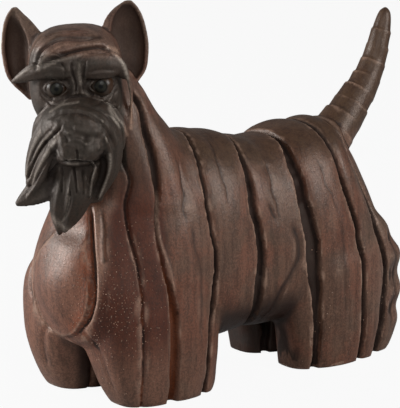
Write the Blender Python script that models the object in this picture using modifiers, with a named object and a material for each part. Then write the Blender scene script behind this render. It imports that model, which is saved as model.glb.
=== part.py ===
"""A standing Scottish terrier figurine, cast in one piece.

The dog faces -Y and turns its head to its left.  Its coat is modelled as
broad overlapping straps that hoop round the body and run down the legs, and
its beard, moustache and brows as thick carved locks.

Every size below is in millimetres; the finished mesh is scaled to metres.
"""

import math

import bmesh
import bpy
import numpy as np
from mathutils import Matrix

MM = 0.001

# How finely the solid is made
MASS_VOXEL = 4.0
DETAIL_VOXEL = 2.0
MASS_SMOOTHING = 5
DETAIL_SMOOTHING = 1
TRIANGLES = 9800
HEAD_KEEPS = 0.75

RESIN_COLOUR = (0.085, 0.045, 0.032, 1.0)
RESIN_ROUGHNESS = 0.42

# The trunk from forechest to rump: (y, top z, bottom z, half width, how far
# the width draws in towards the top)
TRUNK_STATIONS = [
    (-133, 138, 76, 30, 0.3),
    (-128, 164, 60, 52, 0.5),
    (-117, 192, 53, 60, 0.45),
    (-92, 217, 48, 66, 0.3),
    (-55, 230, 45, 69, 0.12),
    (-15, 232, 43, 68, 0.08),
    (35, 226, 42, 65, 0.05),
    (66, 214, 42, 63, 0.05),
    (105, 221, 44, 65, 0.05),
    (146, 228, 46, 66, 0.1),
    (170, 217, 47, 64, 0.3),
    (185, 202, 48, 60, 0.45),
    (196, 180, 50, 55, 0.45),
    (205, 158, 54, 46, 0.3),
    (212, 136, 62, 32, 0.1),
]
TRUNK_WIDEST_Z = 108.0
TRUNK_SQUARENESS = 2.6

# Legs: (z, front y, rear y, inner x, outer x) from the sole up, and for each
# leg of the pair: (side, shift in x, shift in y, width against the table)
LEG_SQUARENESS = 3.2
FRONT_LEG_STATIONS = [
    (-8, -88, -8, 19, 60),
    (0, -95, 0, 14, 64),
    (8, -100, 3, 12, 66),
    (20, -106, 4, 10, 67.5),
    (35, -111, 5, 7, 69),
    (57, -116, 6, 1, 70),
    (88, -118, 9, 0, 70),
    (110, -113, 6, 0, 67),
    (124, -100, -2, 6, 62),
    (138, -84, -16, 14, 54),
]
FRONT_LEGS = [(1, 0, -4, 1.0), (-1, -6, -13, 1.12)]
FRONT_LEG_DRAW_IN = 0.05
HIND_LEG_STATIONS = [
    (-8, 99, 206, 12, 60),
    (0, 98, 217, 9, 63),
    (8, 97, 222, 8, 65),
    (30, 97, 230, 7, 68),
    (60, 95, 232, 7, 69),
    (92, 94, 231, 7, 69),
    (108, 97, 226, 9, 66),
    (120, 106, 210, 13, 63),
    (132, 130, 188, 18, 58),
]
HIND_LEGS = [(1, 0, 0, 1.0), (-1, 0, 0, 1.0)]
HIND_LEG_DRAW_IN = 0.54

# The forechest, a rounded shield that comes to a point between the legs:
# (y, z, half width, half depth) of level rings
CHEST_STATIONS = [
    (-96, 178, 20, 16),
    (-106, 152, 38, 26),
    (-111, 128, 45, 29),
    (-112, 108, 44, 30),
    (-112, 90, 36, 29),
    (-111, 75, 24, 25),
    (-108, 62, 11, 19),
    (-104, 54, 3, 12),
]

# The neck: (y, z, half width, half depth) of level rings
NECK_STATIONS = [
    (-52, 176, 60, 60),
    (-66, 222, 50, 50),
    (-84, 254, 42, 43),
    (-100, 294, 36, 36),
]

# The head is built in its own axes: r to its left, f forwards, z up.  It is
# turned about the vertical and leans a little towards its right.
HEAD_X, HEAD_Y = 3.0, -112.7
HEAD_TURN = math.radians(52)
HEAD_LEAN = math.radians(3.5)
HEAD_LEAN_ABOUT_Z = 246.0
SKULL_CENTRE = (0.0, 0.0, 291.0)
SKULL_RADII = (41.0, 44.0, 45.0)
SKULL_SQUARENESS = 2.9

# The muzzle: (f, centre z, half width, half height) of upright rings
MUZZLE_STATIONS = [
    (0, 247, 34, 32),
    (18, 247, 37, 33),
    (34, 247, 35, 31),
    (50, 246, 30, 27),
    (66, 245, 22, 20),
    (80, 243, 17, 15.5),
    (87, 243, 13, 11),
]
NOSE = (3.0, 77.0, 246.0)
NOSE_RADII = (15.5, 11.0, 14.0)
NOSE_SQUARENESS = 2.8
# The broad bridge behind the nose
BRIDGE = (1.0, 50.0, 262.0)
BRIDGE_RADII = (27.0, 17.0, 14.0)
# The chin and the root of the beard: (f, z, half width, half depth)
CHIN_STATIONS = [
    (42, 238, 24, 26),
    (48, 221, 19, 20),
    (48, 205, 17, 16),
    (44, 188, 17, 13),
]
THROAT_STATIONS = [
    (8, 262, 32, 34),
    (12, 232, 30, 30),
    (4, 202, 28, 27),
    (-14, 170, 30, 27),
    (-30, 140, 26, 22),
]

EYES_R = (-18.5, 20.5)
EYE_F, EYE_Z = 36.0, 286.0
EYE_RADIUS = 8.5
SOCKET_WIDTH, SOCKET_HEIGHT, SOCKET_DEPTH = 17.0, 14.0, 9.0

# Ears: (z, inner edge r, outer edge r, depth of the cup), from root to tip
EAR_STATIONS = [
    (271, 39, 43.5, 4),
    (276, 36, 48, 8),
    (284, 31, 56, 12),
    (294, 28, 62, 15),
    (312, 24, 64.5, 16),
    (326, 24, 63.5, 15),
    (338, 28, 61, 12),
    (347, 36, 57, 8),
    (353, 46, 52, 4),
]
EAR_WALL = 5.0
EAR_FRONT_F = -8.0
EAR_OUTWARD = math.radians(14)
# How much narrower each ear is along its inner edge near the tip
EAR_TRIM = {1: 0.0, -1: 6.0}

# Locks of hair: (points (r, f, z) along the lock, width, thickness)
LOCKS = {
    "bridge_right": (
        [(-1, 40, 277), (-18, 42, 271), (-30, 37, 259), (-36, 31, 243), (-38, 28, 233)],
        14, 9,
    ),
    "cheek_right": (
        [(-2, 58, 267), (-17, 58, 259), (-29, 51, 243), (-39, 44, 224), (-46, 42, 206)],
        24, 10,
    ),
    "lip_right": (
        [(-14, 66, 256), (-22, 61, 241), (-32, 53, 223), (-42, 45, 202)],
        14, 13,
    ),
    "sweep_right": (
        [(-8, 62, 232), (-20, 58, 214), (-36, 50, 202), (-56, 44, 188)],
        31, 10,
    ),
    "bridge_left": (
        [(1, 40, 277), (18, 41, 272), (31, 34, 262), (39, 27, 247), (38, 26, 228)],
        14, 9,
    ),
    "cheek_left": (
        [(4, 60, 267), (18, 59, 262), (30, 52, 251), (34, 45, 234), (31, 42, 215),
         (23, 44, 198), (14, 46, 185)],
        24, 13,
    ),
    "fold_left": (
        [(16, 70, 252), (24, 63, 238), (27, 57, 222), (24, 55, 210), (17, 51, 198), (13, 48, 187)],
        9, 9,
    ),
    "lip_left": (
        [(14, 68, 234), (14, 62, 218), (11, 57, 203), (7, 53, 188)],
        13, 12,
    ),
    "beard_right": (
        [(-12, 62, 216), (-20, 57, 196), (-23, 49, 177), (-20, 41, 157)],
        17, 15,
    ),
    "beard_left": (
        [(4, 62, 216), (2, 58, 197), (-5, 50, 178), (-17, 41, 157)],
        22, 17,
    ),
}
BROWS = {
    "brow_right": (
        [(-2, 42, 305), (-14, 44, 307), (-29, 41, 305), (-42, 34, 299), (-53, 26, 292)],
        18, 12,
    ),
    "brow_left": (
        [(11, 42, 307), (24, 43, 309), (36, 37, 305), (44, 25, 291), (47, 11, 268), (46, 4, 248)],
        19, 11,
    ),
}
# The rim of lid round each eye: half width, half height, thickness, how far
# its middle lies under the skull's face, and how much its corners draw in
EYELID = (13.0, 8.5, 3.4)
EYELID_SUNK = 3.5
EYELID_CORNERS = 0.35

STRANDS = 9
STRAND_DEPTH = 0.07

# The tail: (y, z, radius) up its middle, and the cuffs that wrap it
TAIL_STATIONS = [
    (164, 186, 20),
    (180, 206, 21.5),
    (197, 223, 18.5),
    (213, 244, 15.5),
    (228, 266, 12.5),
    (240, 288, 10.5),
    (247, 306, 7.5),
    (250, 320, 4.5),
]
TAIL_CUFFS = 9
TAIL_STEP = 1.6

# Each strap's free rear edge, down the flank: (z, y, width of the gap behind)
STRAP_EDGES = {
    "shoulder": [
        (300, -104, 1.2), (230, -102, 1.2), (210, -97, 1.2), (176, -98, 1.2),
        (151, -101, 1.5), (115, -95, 1.4), (86, -94, 1.4), (0, -92, 1.2),
    ],
    "withers": [
        (300, -76, 1), (250, -74, 1.2), (226, -76, 3), (206, -73, 6), (193, -73, 9),
        (184, -74, 1.5), (142, -74, 1.5), (120, -70, 2), (106, -67, 4), (84, -66, 9),
        (61, -65, 9), (0, -63, 9),
    ],
    "rib": [
        (236, -8, 1.5), (221, -16, 3), (205, -19, 3.2), (185, -21, 3.3), (152, -18, 3.4),
        (137, -14, 3.5), (101, -15, 4.8), (68, -19, 6), (0, -22, 6),
    ],
    "waist": [
        (230, 46, 1), (218, 34, 2.5), (210, 33, 4), (198, 31, 6.5), (163, 32, 9),
        (144, 37, 8.5), (112, 38, 10), (92, 36, 11), (60, 38, 11), (0, 44, 11),
    ],
    "loin": [
        (230, 100, 0.8), (218, 92, 3.9), (211, 92, 5.5), (195, 89, 10), (159, 91, 12),
        (136, 94, 15), (107, 96, 17), (31, 98, 16), (0, 100, 15),
    ],
    "hip": [
        (232, 130, 1), (215, 140, 2.2), (185, 143, 3.8), (166, 146, 6.4), (147, 152, 6.7),
        (127, 158, 6.7), (97, 165, 7.2), (58, 167, 6.2), (0, 162, 6.5),
    ],
    "thigh": [
        (232, 156, 1), (208, 164, 2), (189, 169, 3), (165, 176, 4), (145, 185, 6),
        (115, 193, 8), (90, 197, 8), (50, 201, 8), (0, 203, 8),
    ],
}
STRAP_LIFT = 2.2
STRAP_BULGE = 14.0
STRAP_DEPTH = 5.0
STRAP_WALL = 2.4
# The straps fade out between these heights, on the way up to the head
STRAPS_END_Z = (252, 276)


def smooth_through(keys, count):
    """Points on a smooth curve through the key rows, evenly spread by key."""
    keys = np.asarray(keys, float)
    padded = np.vstack([2 * keys[0] - keys[1], keys, 2 * keys[-1] - keys[-2]])
    spots = np.linspace(0, len(keys) - 1, count)
    first = np.minimum(spots.astype(int), len(keys) - 2)
    t = (spots - first)[:, None]
    before, start, end, after = (padded[first + k] for k in range(4))
    return 0.5 * (
        2 * start
        + (end - before) * t
        + (2 * before - 5 * start + 4 * end - after) * t**2
        + (3 * start - before - 3 * end + after) * t**3
    )


def superellipse(count, squareness):
    """Unit points of a superellipse, anticlockwise."""
    angle = np.linspace(0, 2 * math.pi, count, endpoint=False)
    c, s = np.cos(angle), np.sin(angle)
    power = 2 / squareness
    return np.sign(c) * abs(c) ** power, np.sign(s) * abs(s) ** power


def smoothstep(low, high, value):
    t = np.clip((value - low) / (high - low), 0, 1)
    return t * t * (3 - 2 * t)


def head_point(r, f, z):
    """A point in the head's axes, as x, y, z of the whole dog."""
    c, s = math.cos(HEAD_LEAN), math.sin(HEAD_LEAN)
    above = z - HEAD_LEAN_ABOUT_Z
    r, z = r * c - above * s, HEAD_LEAN_ABOUT_Z + r * s + above * c
    c, s = math.cos(HEAD_TURN), math.sin(HEAD_TURN)
    return np.stack([HEAD_X + r * c + f * s, HEAD_Y + r * s - f * c, z], axis=-1)


def in_head(points):
    """The r, f and z of points in the head's axes: the reverse of head_point."""
    c, s = math.cos(HEAD_TURN), math.sin(HEAD_TURN)
    x, y = points[:, 0] - HEAD_X, points[:, 1] - HEAD_Y
    r, f = x * c + y * s, x * s - y * c
    above = points[:, 2] - HEAD_LEAN_ABOUT_Z
    c, s = math.cos(HEAD_LEAN), math.sin(HEAD_LEAN)
    return r * c + above * s, f, HEAD_LEAN_ABOUT_Z - r * s + above * c


class Clay:
    """Closed forms collected as loose shells, ready to be fused."""

    def __init__(self):
        self.points, self.faces = [], []

    def loft(self, rings):
        """Skins a run of rings with the same count, and caps both ends."""
        base = len(self.points)
        n = len(rings[0])
        for ring in rings:
            self.points.extend(map(tuple, ring))
        for k in range(len(rings) - 1):
            a, b = base + k * n, base + (k + 1) * n
            for i in range(n):
                j = (i + 1) % n
                self.faces.append((a + i, a + j, b + j, b + i))
        last = base + (len(rings) - 1) * n
        self.faces.append(tuple(range(base + n - 1, base - 1, -1)))
        self.faces.append(tuple(range(last, last + n)))

    def add(self, mesh):
        base = len(self.points)
        self.points.extend(tuple(v.co) for v in mesh.vertices)
        self.faces.extend(tuple(base + v for v in p.vertices) for p in mesh.polygons)

    def fuse(self, name, voxel, smoothing):
        """One skin round all the forms, with its joins softened."""
        mesh = bpy.data.meshes.new(name)
        mesh.from_pydata(self.points, [], self.faces)
        fused = bpy.data.objects.new(name, mesh)
        bpy.context.scene.collection.objects.link(fused)
        remesh = fused.modifiers.new("fuse", "REMESH")
        remesh.mode = "VOXEL"
        remesh.voxel_size = voxel
        if smoothing:
            smooth = fused.modifiers.new("soften", "SMOOTH")
            smooth.factor = 0.5
            smooth.iterations = smoothing
        return baked(fused)


def baked(obj):
    """The object's evaluated mesh; the object itself is removed."""
    graph = bpy.context.evaluated_depsgraph_get()
    mesh = bpy.data.meshes.new_from_object(obj.evaluated_get(graph))
    name = obj.name
    bpy.data.objects.remove(obj)
    mesh.name = name
    return mesh


def coordinates(mesh):
    points = np.empty(len(mesh.vertices) * 3, np.float32)
    mesh.vertices.foreach_get("co", points)
    normals = np.empty(len(mesh.vertices) * 3, np.float32)
    mesh.vertices.foreach_get("normal", normals)
    return points.reshape(-1, 3).astype(float), normals.reshape(-1, 3).astype(float)


def displace(mesh, offsets):
    points, _ = coordinates(mesh)
    mesh.vertices.foreach_set("co", (points + offsets).astype(np.float32).ravel())
    mesh.update()


def trunk_rings():
    ux, uz = superellipse(56, TRUNK_SQUARENESS)
    rings = []
    for y, top, bottom, half, draw_in in smooth_through(TRUNK_STATIONS, 70):
        reach = np.where(uz > 0, top - TRUNK_WIDEST_Z, TRUNK_WIDEST_Z - bottom)
        width = half * (1 - draw_in * np.maximum(uz, 0))
        rings.append(np.stack([width * ux, 0 * ux + y, TRUNK_WIDEST_Z + reach * uz], 1))
    return rings


def leg_rings(stations, draw_in, side, step_x, step_y, breadth):
    ul, uw = superellipse(40, LEG_SQUARENESS)
    rings = []
    for z, front, rear, inner, outer in smooth_through(stations, 30):
        along = step_y + (front + rear) / 2 + (rear - front) / 2 * ul
        across = breadth * (outer - inner) / 2 * uw * (1 - draw_in * np.maximum(ul, 0))
        x = side * (inner + outer) / 2 + step_x + across
        rings.append(np.stack([x, along, 0 * along + z], 1))
    return rings


def standing_rings(stations):
    """Level rings from rows of (y, z, half width, half depth)."""
    ux, uy = superellipse(40, 2.2)
    return [
        np.stack([half * ux, y + depth * uy, 0 * ux + z], 1)
        for y, z, half, depth in smooth_through(stations, 24)
    ]


def ball_rings(centre, radii, squareness=2.0, place=None):
    """Level rings of an ellipsoid, or of a squarer one."""
    ux, uy = superellipse(40, squareness)
    rings = []
    for angle in np.linspace(-math.pi / 2, math.pi / 2, 26)[1:-1]:
        lift, spread = math.sin(angle), math.cos(angle)
        high = math.copysign(abs(lift) ** (2 / squareness), lift)
        wide = spread ** (2 / squareness)
        points = (
            centre[0] + radii[0] * wide * ux,
            centre[1] + radii[1] * wide * uy,
            centre[2] + radii[2] * high + 0 * ux,
        )
        rings.append(place(*points) if place else np.stack(points, 1))
    return rings


def upright_head_rings(stations, squareness):
    ur, uz = superellipse(32, squareness)
    return [
        head_point(half * ur, f + 0 * ur, z + tall * uz)
        for f, z, half, tall in smooth_through(stations, 20)
    ]


def level_head_rings(stations, squareness):
    ur, uf = superellipse(32, squareness)
    return [
        head_point(half * ur, f + deep * uf, z + 0 * ur)
        for f, z, half, deep in smooth_through(stations, 20)
    ]


def ear_rings(side):
    """A cupped leaf, open to the front: side is 1 for the dog's left ear."""
    arc = np.linspace(0, math.pi, 17)
    rings = []
    for z, inner_edge, outer_edge, cup in smooth_through(EAR_STATIONS, 36):
        inner_edge += EAR_TRIM[side] * smoothstep(318, 342, z) * smoothstep(356, 346, z)
        middle, half = (inner_edge + outer_edge) / 2, (outer_edge - inner_edge) / 2
        wall = min(EAR_WALL, 0.45 * half)
        hollow = max(cup - wall, 0.3)
        across = np.concatenate([half * np.cos(arc), (half - wall) * np.cos(arc[::-1])])
        back = np.concatenate([cup * np.sin(arc), hollow * np.sin(arc[::-1])])
        f = EAR_FRONT_F - back - across * math.sin(EAR_OUTWARD)
        rings.append(head_point(side * (middle + across), f, z + 0 * f))
    return rings


def lock_rings(points, width, thickness, outward):
    """A lock of hair: a flattened taper swept along its points."""
    path = smooth_through(points, 24)
    tangent = np.gradient(path, axis=0)
    tangent /= np.linalg.norm(tangent, axis=1)[:, None]
    outward = np.asarray(outward, float)
    facing = outward - tangent * (tangent @ outward)[:, None]
    facing /= np.linalg.norm(facing, axis=1)[:, None]
    across = np.cross(tangent, facing)
    ua, ub = superellipse(36, 2.0)
    strands = 1 + STRAND_DEPTH * np.cos(STRANDS * np.arctan2(ub, ua))
    ua, ub = ua * strands, ub * strands
    rings = []
    for k, t in enumerate(np.linspace(0, 1, len(path))):
        taper = math.sin(math.pi * (0.22 + 0.76 * t)) ** 0.75
        ring = (
            path[k]
            + np.outer(0.5 * width * taper * ua, across[k])
            + np.outer(0.5 * thickness * (0.3 + 0.7 * taper) * ub, facing[k])
        )
        rings.append(head_point(*ring.T))
    return rings


def eyelid_rings(eye):
    """A closed almond-shaped rim that follows the face round one eye."""
    turn = np.linspace(0, 2 * math.pi, 37)
    wide, tall, thick = EYELID
    r = eye + wide * np.cos(turn)
    z = EYE_Z + tall * np.sin(turn) * (1 - EYELID_CORNERS * np.cos(turn) ** 2)
    face = 1 - (abs(r) / SKULL_RADII[0]) ** SKULL_SQUARENESS
    f = SKULL_RADII[1] * face ** (1 / SKULL_SQUARENESS) - EYELID_SUNK
    middle = np.stack([r, f, z], 1)
    tangent = np.gradient(middle, axis=0)
    tangent[0] = tangent[-1] = middle[1] - middle[-2]
    tangent /= np.linalg.norm(tangent, axis=1)[:, None]
    outward = np.array([0.0, 1.0, 0.0])
    across = np.cross(tangent, outward)
    ua, ub = superellipse(12, 2.0)
    return [
        head_point(*(p + thick / 2 * (np.outer(ua, a) + np.outer(ub, outward))).T)
        for p, a in zip(middle, across)
    ]


def tail_rings():
    """The tail's taper, stepped outwards at the rim of each cuff."""
    stations = smooth_through(TAIL_STATIONS, 6 * TAIL_CUFFS + 1)
    middle = stations[:, :2]
    tangent = np.gradient(middle, axis=0)
    tangent /= np.linalg.norm(tangent, axis=1)[:, None]
    angle = np.linspace(0, 2 * math.pi, 28, endpoint=False)
    rings = []
    for k, (y, z, radius) in enumerate(stations):
        radius = radius + TAIL_STEP * ((k % 6) / 5 - 0.5)
        back = np.array([tangent[k][1], -tangent[k][0]])
        side = radius * np.cos(angle)
        deep = radius * np.sin(angle)
        rings.append(np.stack([side, y + deep * back[0], z + deep * back[1]], 1))
    return rings


def strap_relief(points):
    """How far each point of the trunk stands out or in for the straps."""
    x, y, z = points.T
    relief = np.zeros(len(points))
    for keys in STRAP_EDGES.values():
        curve = smooth_through(keys, 60)[::-1]
        behind = y - np.interp(z, curve[:, 0], curve[:, 1])
        gap = np.interp(z, curve[:, 0], curve[:, 2])
        edge = smoothstep(-0.5 * STRAP_WALL, 0.5 * STRAP_WALL, behind)
        lift = STRAP_LIFT * np.exp(np.minimum(behind, 0) / STRAP_BULGE)
        depth = STRAP_DEPTH * smoothstep(-1, 4, gap)
        floor = depth * (1 - smoothstep(gap, gap + STRAP_WALL, behind))
        relief += lift * (1 - edge) - floor * edge
    return relief


def socket_relief(points):
    """How far the skull is pressed in round the eyes."""
    r, f, z = in_head(points)
    relief = np.zeros(len(points))
    for eye in EYES_R:
        away = np.hypot((r - eye) / SOCKET_WIDTH, (z - EYE_Z) / SOCKET_HEIGHT)
        relief -= SOCKET_DEPTH * (1 - smoothstep(0.3, 1.0, away)) * (f > 10)
    return relief


def body_mass():
    clay = Clay()
    clay.loft(trunk_rings())
    for leg in FRONT_LEGS:
        clay.loft(leg_rings(FRONT_LEG_STATIONS, FRONT_LEG_DRAW_IN, *leg))
    for leg in HIND_LEGS:
        clay.loft(leg_rings(HIND_LEG_STATIONS, HIND_LEG_DRAW_IN, *leg))
    clay.loft(standing_rings(CHEST_STATIONS))
    clay.loft(standing_rings(NECK_STATIONS))
    clay.loft(
        ball_rings(SKULL_CENTRE, SKULL_RADII, SKULL_SQUARENESS, head_point)
    )
    return clay.fuse("mass", MASS_VOXEL, MASS_SMOOTHING)


def carved(mass):
    clay = Clay()
    clay.add(mass)
    fine = clay.fuse("carved", DETAIL_VOXEL, 2)
    points, normals = coordinates(fine)
    on_head = smoothstep(*STRAPS_END_Z, points[:, 2])
    relief = strap_relief(points) * (1 - on_head) + socket_relief(points)
    displace(fine, normals * relief[:, None])
    return fine


def finished_dog():
    clay = Clay()
    clay.add(carved(body_mass()))
    clay.loft(upright_head_rings(MUZZLE_STATIONS, 2.3))
    clay.loft(ball_rings(NOSE, NOSE_RADII, NOSE_SQUARENESS, head_point))
    clay.loft(ball_rings(BRIDGE, BRIDGE_RADII, 2.0, head_point))
    clay.loft(level_head_rings(CHIN_STATIONS, 2.2))
    clay.loft(level_head_rings(THROAT_STATIONS, 2.2))
    for side in (1, -1):
        clay.loft(ear_rings(side))
    for eye in EYES_R:
        clay.loft(ball_rings((eye, EYE_F, EYE_Z), (EYE_RADIUS,) * 3, 2.0, head_point))
        clay.loft(eyelid_rings(eye))
    for name, (points, width, thickness) in {**LOCKS, **BROWS}.items():
        lean = 0.0 if name in BROWS else 0.5 if name.endswith("left") else -0.5
        clay.loft(lock_rings(points, width, thickness, (lean, 0.85, 0.1)))
    clay.loft(tail_rings())
    return clay.fuse("dog", DETAIL_VOXEL, DETAIL_SMOOTHING)


def cut_flat_soles(mesh):
    """Cuts the legs off level at z = 0 and closes each sole."""
    shape = bmesh.new()
    shape.from_mesh(mesh)
    cut = bmesh.ops.bisect_plane(
        shape,
        geom=shape.verts[:] + shape.edges[:] + shape.faces[:],
        dist=1e-4,
        plane_co=(0, 0, 0),
        plane_no=(0, 0, -1),
        clear_outer=True,
    )
    rims = [e for e in cut["geom_cut"] if isinstance(e, bmesh.types.BMEdge)]
    bmesh.ops.holes_fill(shape, edges=rims, sides=0)
    bmesh.ops.triangulate(shape, faces=shape.faces[:])
    shape.to_mesh(mesh)
    shape.free()


def reduced(mesh, triangles):
    """The mesh in fewer triangles, with more of them left on the head."""
    dense = bpy.data.objects.new(mesh.name, mesh)
    bpy.context.scene.collection.objects.link(dense)
    points, _ = coordinates(mesh)
    r, f, z = in_head(points)
    face = smoothstep(0, 30, f) * smoothstep(150, 190, z)
    group = dense.vertex_groups.new(name="may_go")
    for level in range(11):
        band = np.flatnonzero(np.round(face * 10) == level)
        group.add(band.tolist(), 1 - HEAD_KEEPS * level / 10, "REPLACE")
    decimate = dense.modifiers.new("reduce", "DECIMATE")
    decimate.ratio = triangles / (len(mesh.loops) - 2 * len(mesh.polygons))
    decimate.use_collapse_triangulate = True
    decimate.vertex_group = group.name
    return baked(dense)


def centred(mesh):
    """Moves the middle of the dog's box over the origin."""
    points, _ = coordinates(mesh)
    middle = (points.min(0) + points.max(0)) / 2
    mesh.transform(Matrix.Translation((-middle[0], -middle[1], 0)))


def resin():
    """Brown-stained cast resin with a satin finish."""
    material = bpy.data.materials.new("brown_resin")
    material.use_nodes = True
    shader = material.node_tree.nodes["Principled BSDF"]
    shader.inputs["Base Color"].default_value = RESIN_COLOUR
    shader.inputs["Roughness"].default_value = RESIN_ROUGHNESS
    shader.inputs["Metallic"].default_value = 0.0
    return material


def main():
    for old in list(bpy.data.objects):
        bpy.data.objects.remove(old)
    mesh = reduced(finished_dog(), TRIANGLES)
    cut_flat_soles(mesh)
    centred(mesh)
    mesh.transform(Matrix.Scale(MM, 4))
    mesh.materials.clear()
    mesh.materials.append(resin())
    dog = bpy.data.objects.new("dog", mesh)
    figurine = bpy.data.collections.new("scottish_terrier_figurine")
    bpy.context.scene.collection.children.link(figurine)
    figurine.objects.link(dog)


main()
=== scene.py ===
# %% [markdown]
# # A cast terrier
#
# The object is a standing terrier cast in one piece from brown resin. Its coat is a set of broad
# straps that overlap like the boards of a boat, and its face is carved in thick locks of hair.
# The plain solid comes from the frame. This script makes the same forms again from the same sizes,
# but fine enough to hold cracks, wrinkles and hairs, and then stains and wipes the surface.

# %% The frame
import math
import time

import bmesh
import bpy
import numpy as np
from mathutils import Matrix, Vector


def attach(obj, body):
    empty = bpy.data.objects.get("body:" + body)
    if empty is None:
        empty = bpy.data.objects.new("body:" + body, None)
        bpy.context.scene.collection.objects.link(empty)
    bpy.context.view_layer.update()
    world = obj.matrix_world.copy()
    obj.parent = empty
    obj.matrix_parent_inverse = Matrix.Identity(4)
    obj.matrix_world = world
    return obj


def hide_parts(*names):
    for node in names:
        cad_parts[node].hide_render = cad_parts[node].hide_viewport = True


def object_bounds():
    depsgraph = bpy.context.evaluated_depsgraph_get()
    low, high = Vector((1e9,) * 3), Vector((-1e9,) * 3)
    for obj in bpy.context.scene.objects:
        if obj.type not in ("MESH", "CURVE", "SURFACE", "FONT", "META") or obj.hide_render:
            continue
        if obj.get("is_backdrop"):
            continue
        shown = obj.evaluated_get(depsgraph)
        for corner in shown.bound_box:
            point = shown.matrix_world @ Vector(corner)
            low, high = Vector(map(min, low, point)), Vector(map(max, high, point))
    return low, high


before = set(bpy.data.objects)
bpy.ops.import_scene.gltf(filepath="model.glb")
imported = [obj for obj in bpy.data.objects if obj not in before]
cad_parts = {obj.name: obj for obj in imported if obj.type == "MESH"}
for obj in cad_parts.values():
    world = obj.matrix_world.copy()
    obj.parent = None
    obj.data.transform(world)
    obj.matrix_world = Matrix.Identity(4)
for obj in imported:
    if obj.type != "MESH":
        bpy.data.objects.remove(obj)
CAD_LOW, CAD_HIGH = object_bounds()
STARTED = time.time()
MM = 0.001


def told(what):
    print(f"{time.time() - STARTED:6.1f} s  {what}")


told(f"the solid is {[round(v / MM) for v in CAD_HIGH - CAD_LOW]} mm")

# %% [markdown]
# ## The camera
#
# The camera stands a couple of metres away with a long lens, so that near and far legs keep nearly
# the same scale. It stands to the dog's left front and looks down on it a little. It aims at a
# point beside the chest, which leaves room for the tail.

# %% Camera
CAMERA_TURN, CAMERA_RISE = 52, 12  # degrees, from straight ahead of the dog to its left, and up
CAMERA_DISTANCE = 2.2
CAMERA_SEES = 30  # metres
SENSOR = 0.036
FRAME_HEIGHT = 0.3672
AIM = Vector((0.0307, -0.0364, 0.1667))


def put(name, data):
    """A new object in the scene."""
    made = bpy.data.objects.new(name, data)
    bpy.context.scene.collection.objects.link(made)
    return made


def aimed(name, data, turn, rise, distance):
    """A camera or a lamp that looks at the dog from a turn and a rise in degrees."""
    turn, rise = math.radians(turn), math.radians(rise)
    back = Vector((
        math.sin(turn) * math.cos(rise), -math.cos(turn) * math.cos(rise), math.sin(rise),
    ))
    made = put(name, data)
    made.location = AIM + back * distance
    made.rotation_euler = (-back).to_track_quat("-Z", "Y").to_euler()
    return made


def stand_camera():
    lens = bpy.data.cameras.new("studio_camera")
    lens.sensor_width = SENSOR / MM
    lens.lens = CAMERA_DISTANCE / FRAME_HEIGHT * SENSOR / MM
    lens.clip_end = CAMERA_SEES
    camera = aimed("studio_camera", lens, CAMERA_TURN, CAMERA_RISE, CAMERA_DISTANCE)
    bpy.context.scene.camera = camera
    return camera


told(f"camera lens {stand_camera().data.lens:.0f} mm")

# %% [markdown]
# ## Tools for shaping
#
# Four small helpers do most of the drawing: a smooth curve through a few key rows, the outline of
# a superellipse, which is a circle that can be squared off, a soft step up or down between two
# values, and a height that wanders at random. Everything is worked out in millimetres and scaled
# to metres at the very end.

# %% Curves and outlines
def smooth_through(keys, count):
    """Points on a smooth curve through the key rows, evenly spread by key."""
    keys = np.asarray(keys, float)
    padded = np.vstack([2 * keys[0] - keys[1], keys, 2 * keys[-1] - keys[-2]])
    spots = np.linspace(0, len(keys) - 1, count)
    first = np.minimum(spots.astype(int), len(keys) - 2)
    t = (spots - first)[:, None]
    before, start, end, after = (padded[first + k] for k in range(4))
    return 0.5 * (
        2 * start
        + (end - before) * t
        + (2 * before - 5 * start + 4 * end - after) * t**2
        + (3 * start - before - 3 * end + after) * t**3
    )


def superellipse(count, squareness):
    """Unit points of a superellipse, anticlockwise."""
    angle = np.linspace(0, 2 * math.pi, count, endpoint=False)
    c, s = np.cos(angle), np.sin(angle)
    power = 2 / squareness
    return np.sign(c) * abs(c) ** power, np.sign(s) * abs(s) ** power


def smoothstep(low, high, value):
    t = np.clip((value - low) / (high - low), 0, 1)
    return t * t * (3 - 2 * t)


def fade(low, high, value):
    return 1 - smoothstep(low, high, value)


def unit(rows):
    """Each row scaled to a length of one."""
    return rows / np.linalg.norm(rows, axis=1)[:, None]


WAVES = 14  # how many sine waves are added up in one wandering height


def wander(points, size, seed):
    """A smooth random height for each point, about -1 to 1, whose bumps are about size across."""
    draw = np.random.default_rng(seed)
    heading = unit(draw.normal(size=(WAVES, points.shape[1])))
    size = np.asarray(size, float)
    pitch = math.pi * draw.uniform(0.6, 1.4, WAVES)[:, None] * heading
    phase = draw.uniform(0, 2 * math.pi, WAVES)
    total = np.zeros(len(points))
    for k in range(WAVES):
        total += np.sin((points / size) @ pitch[k] + phase[k])
    return total / math.sqrt(WAVES)


# %% [markdown]
# The head has axes of its own, because it is turned towards the dog's left and leans slightly:
# `r` runs to the head's left, `f` forwards out of the nose, and `z` up.

# %% Head axes
HEAD_X, HEAD_Y = 3.0, -112.7
HEAD_TURN = math.radians(52)
HEAD_LEAN = math.radians(3.5)
HEAD_LEAN_ABOUT_Z = 246.0


def head_point(r, f, z):
    """A point in the head's axes, as x, y, z of the whole dog."""
    c, s = math.cos(HEAD_LEAN), math.sin(HEAD_LEAN)
    above = z - HEAD_LEAN_ABOUT_Z
    r, z = r * c - above * s, HEAD_LEAN_ABOUT_Z + r * s + above * c
    c, s = math.cos(HEAD_TURN), math.sin(HEAD_TURN)
    return np.stack([HEAD_X + r * c + f * s, HEAD_Y + r * s - f * c, z], axis=-1)


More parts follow.
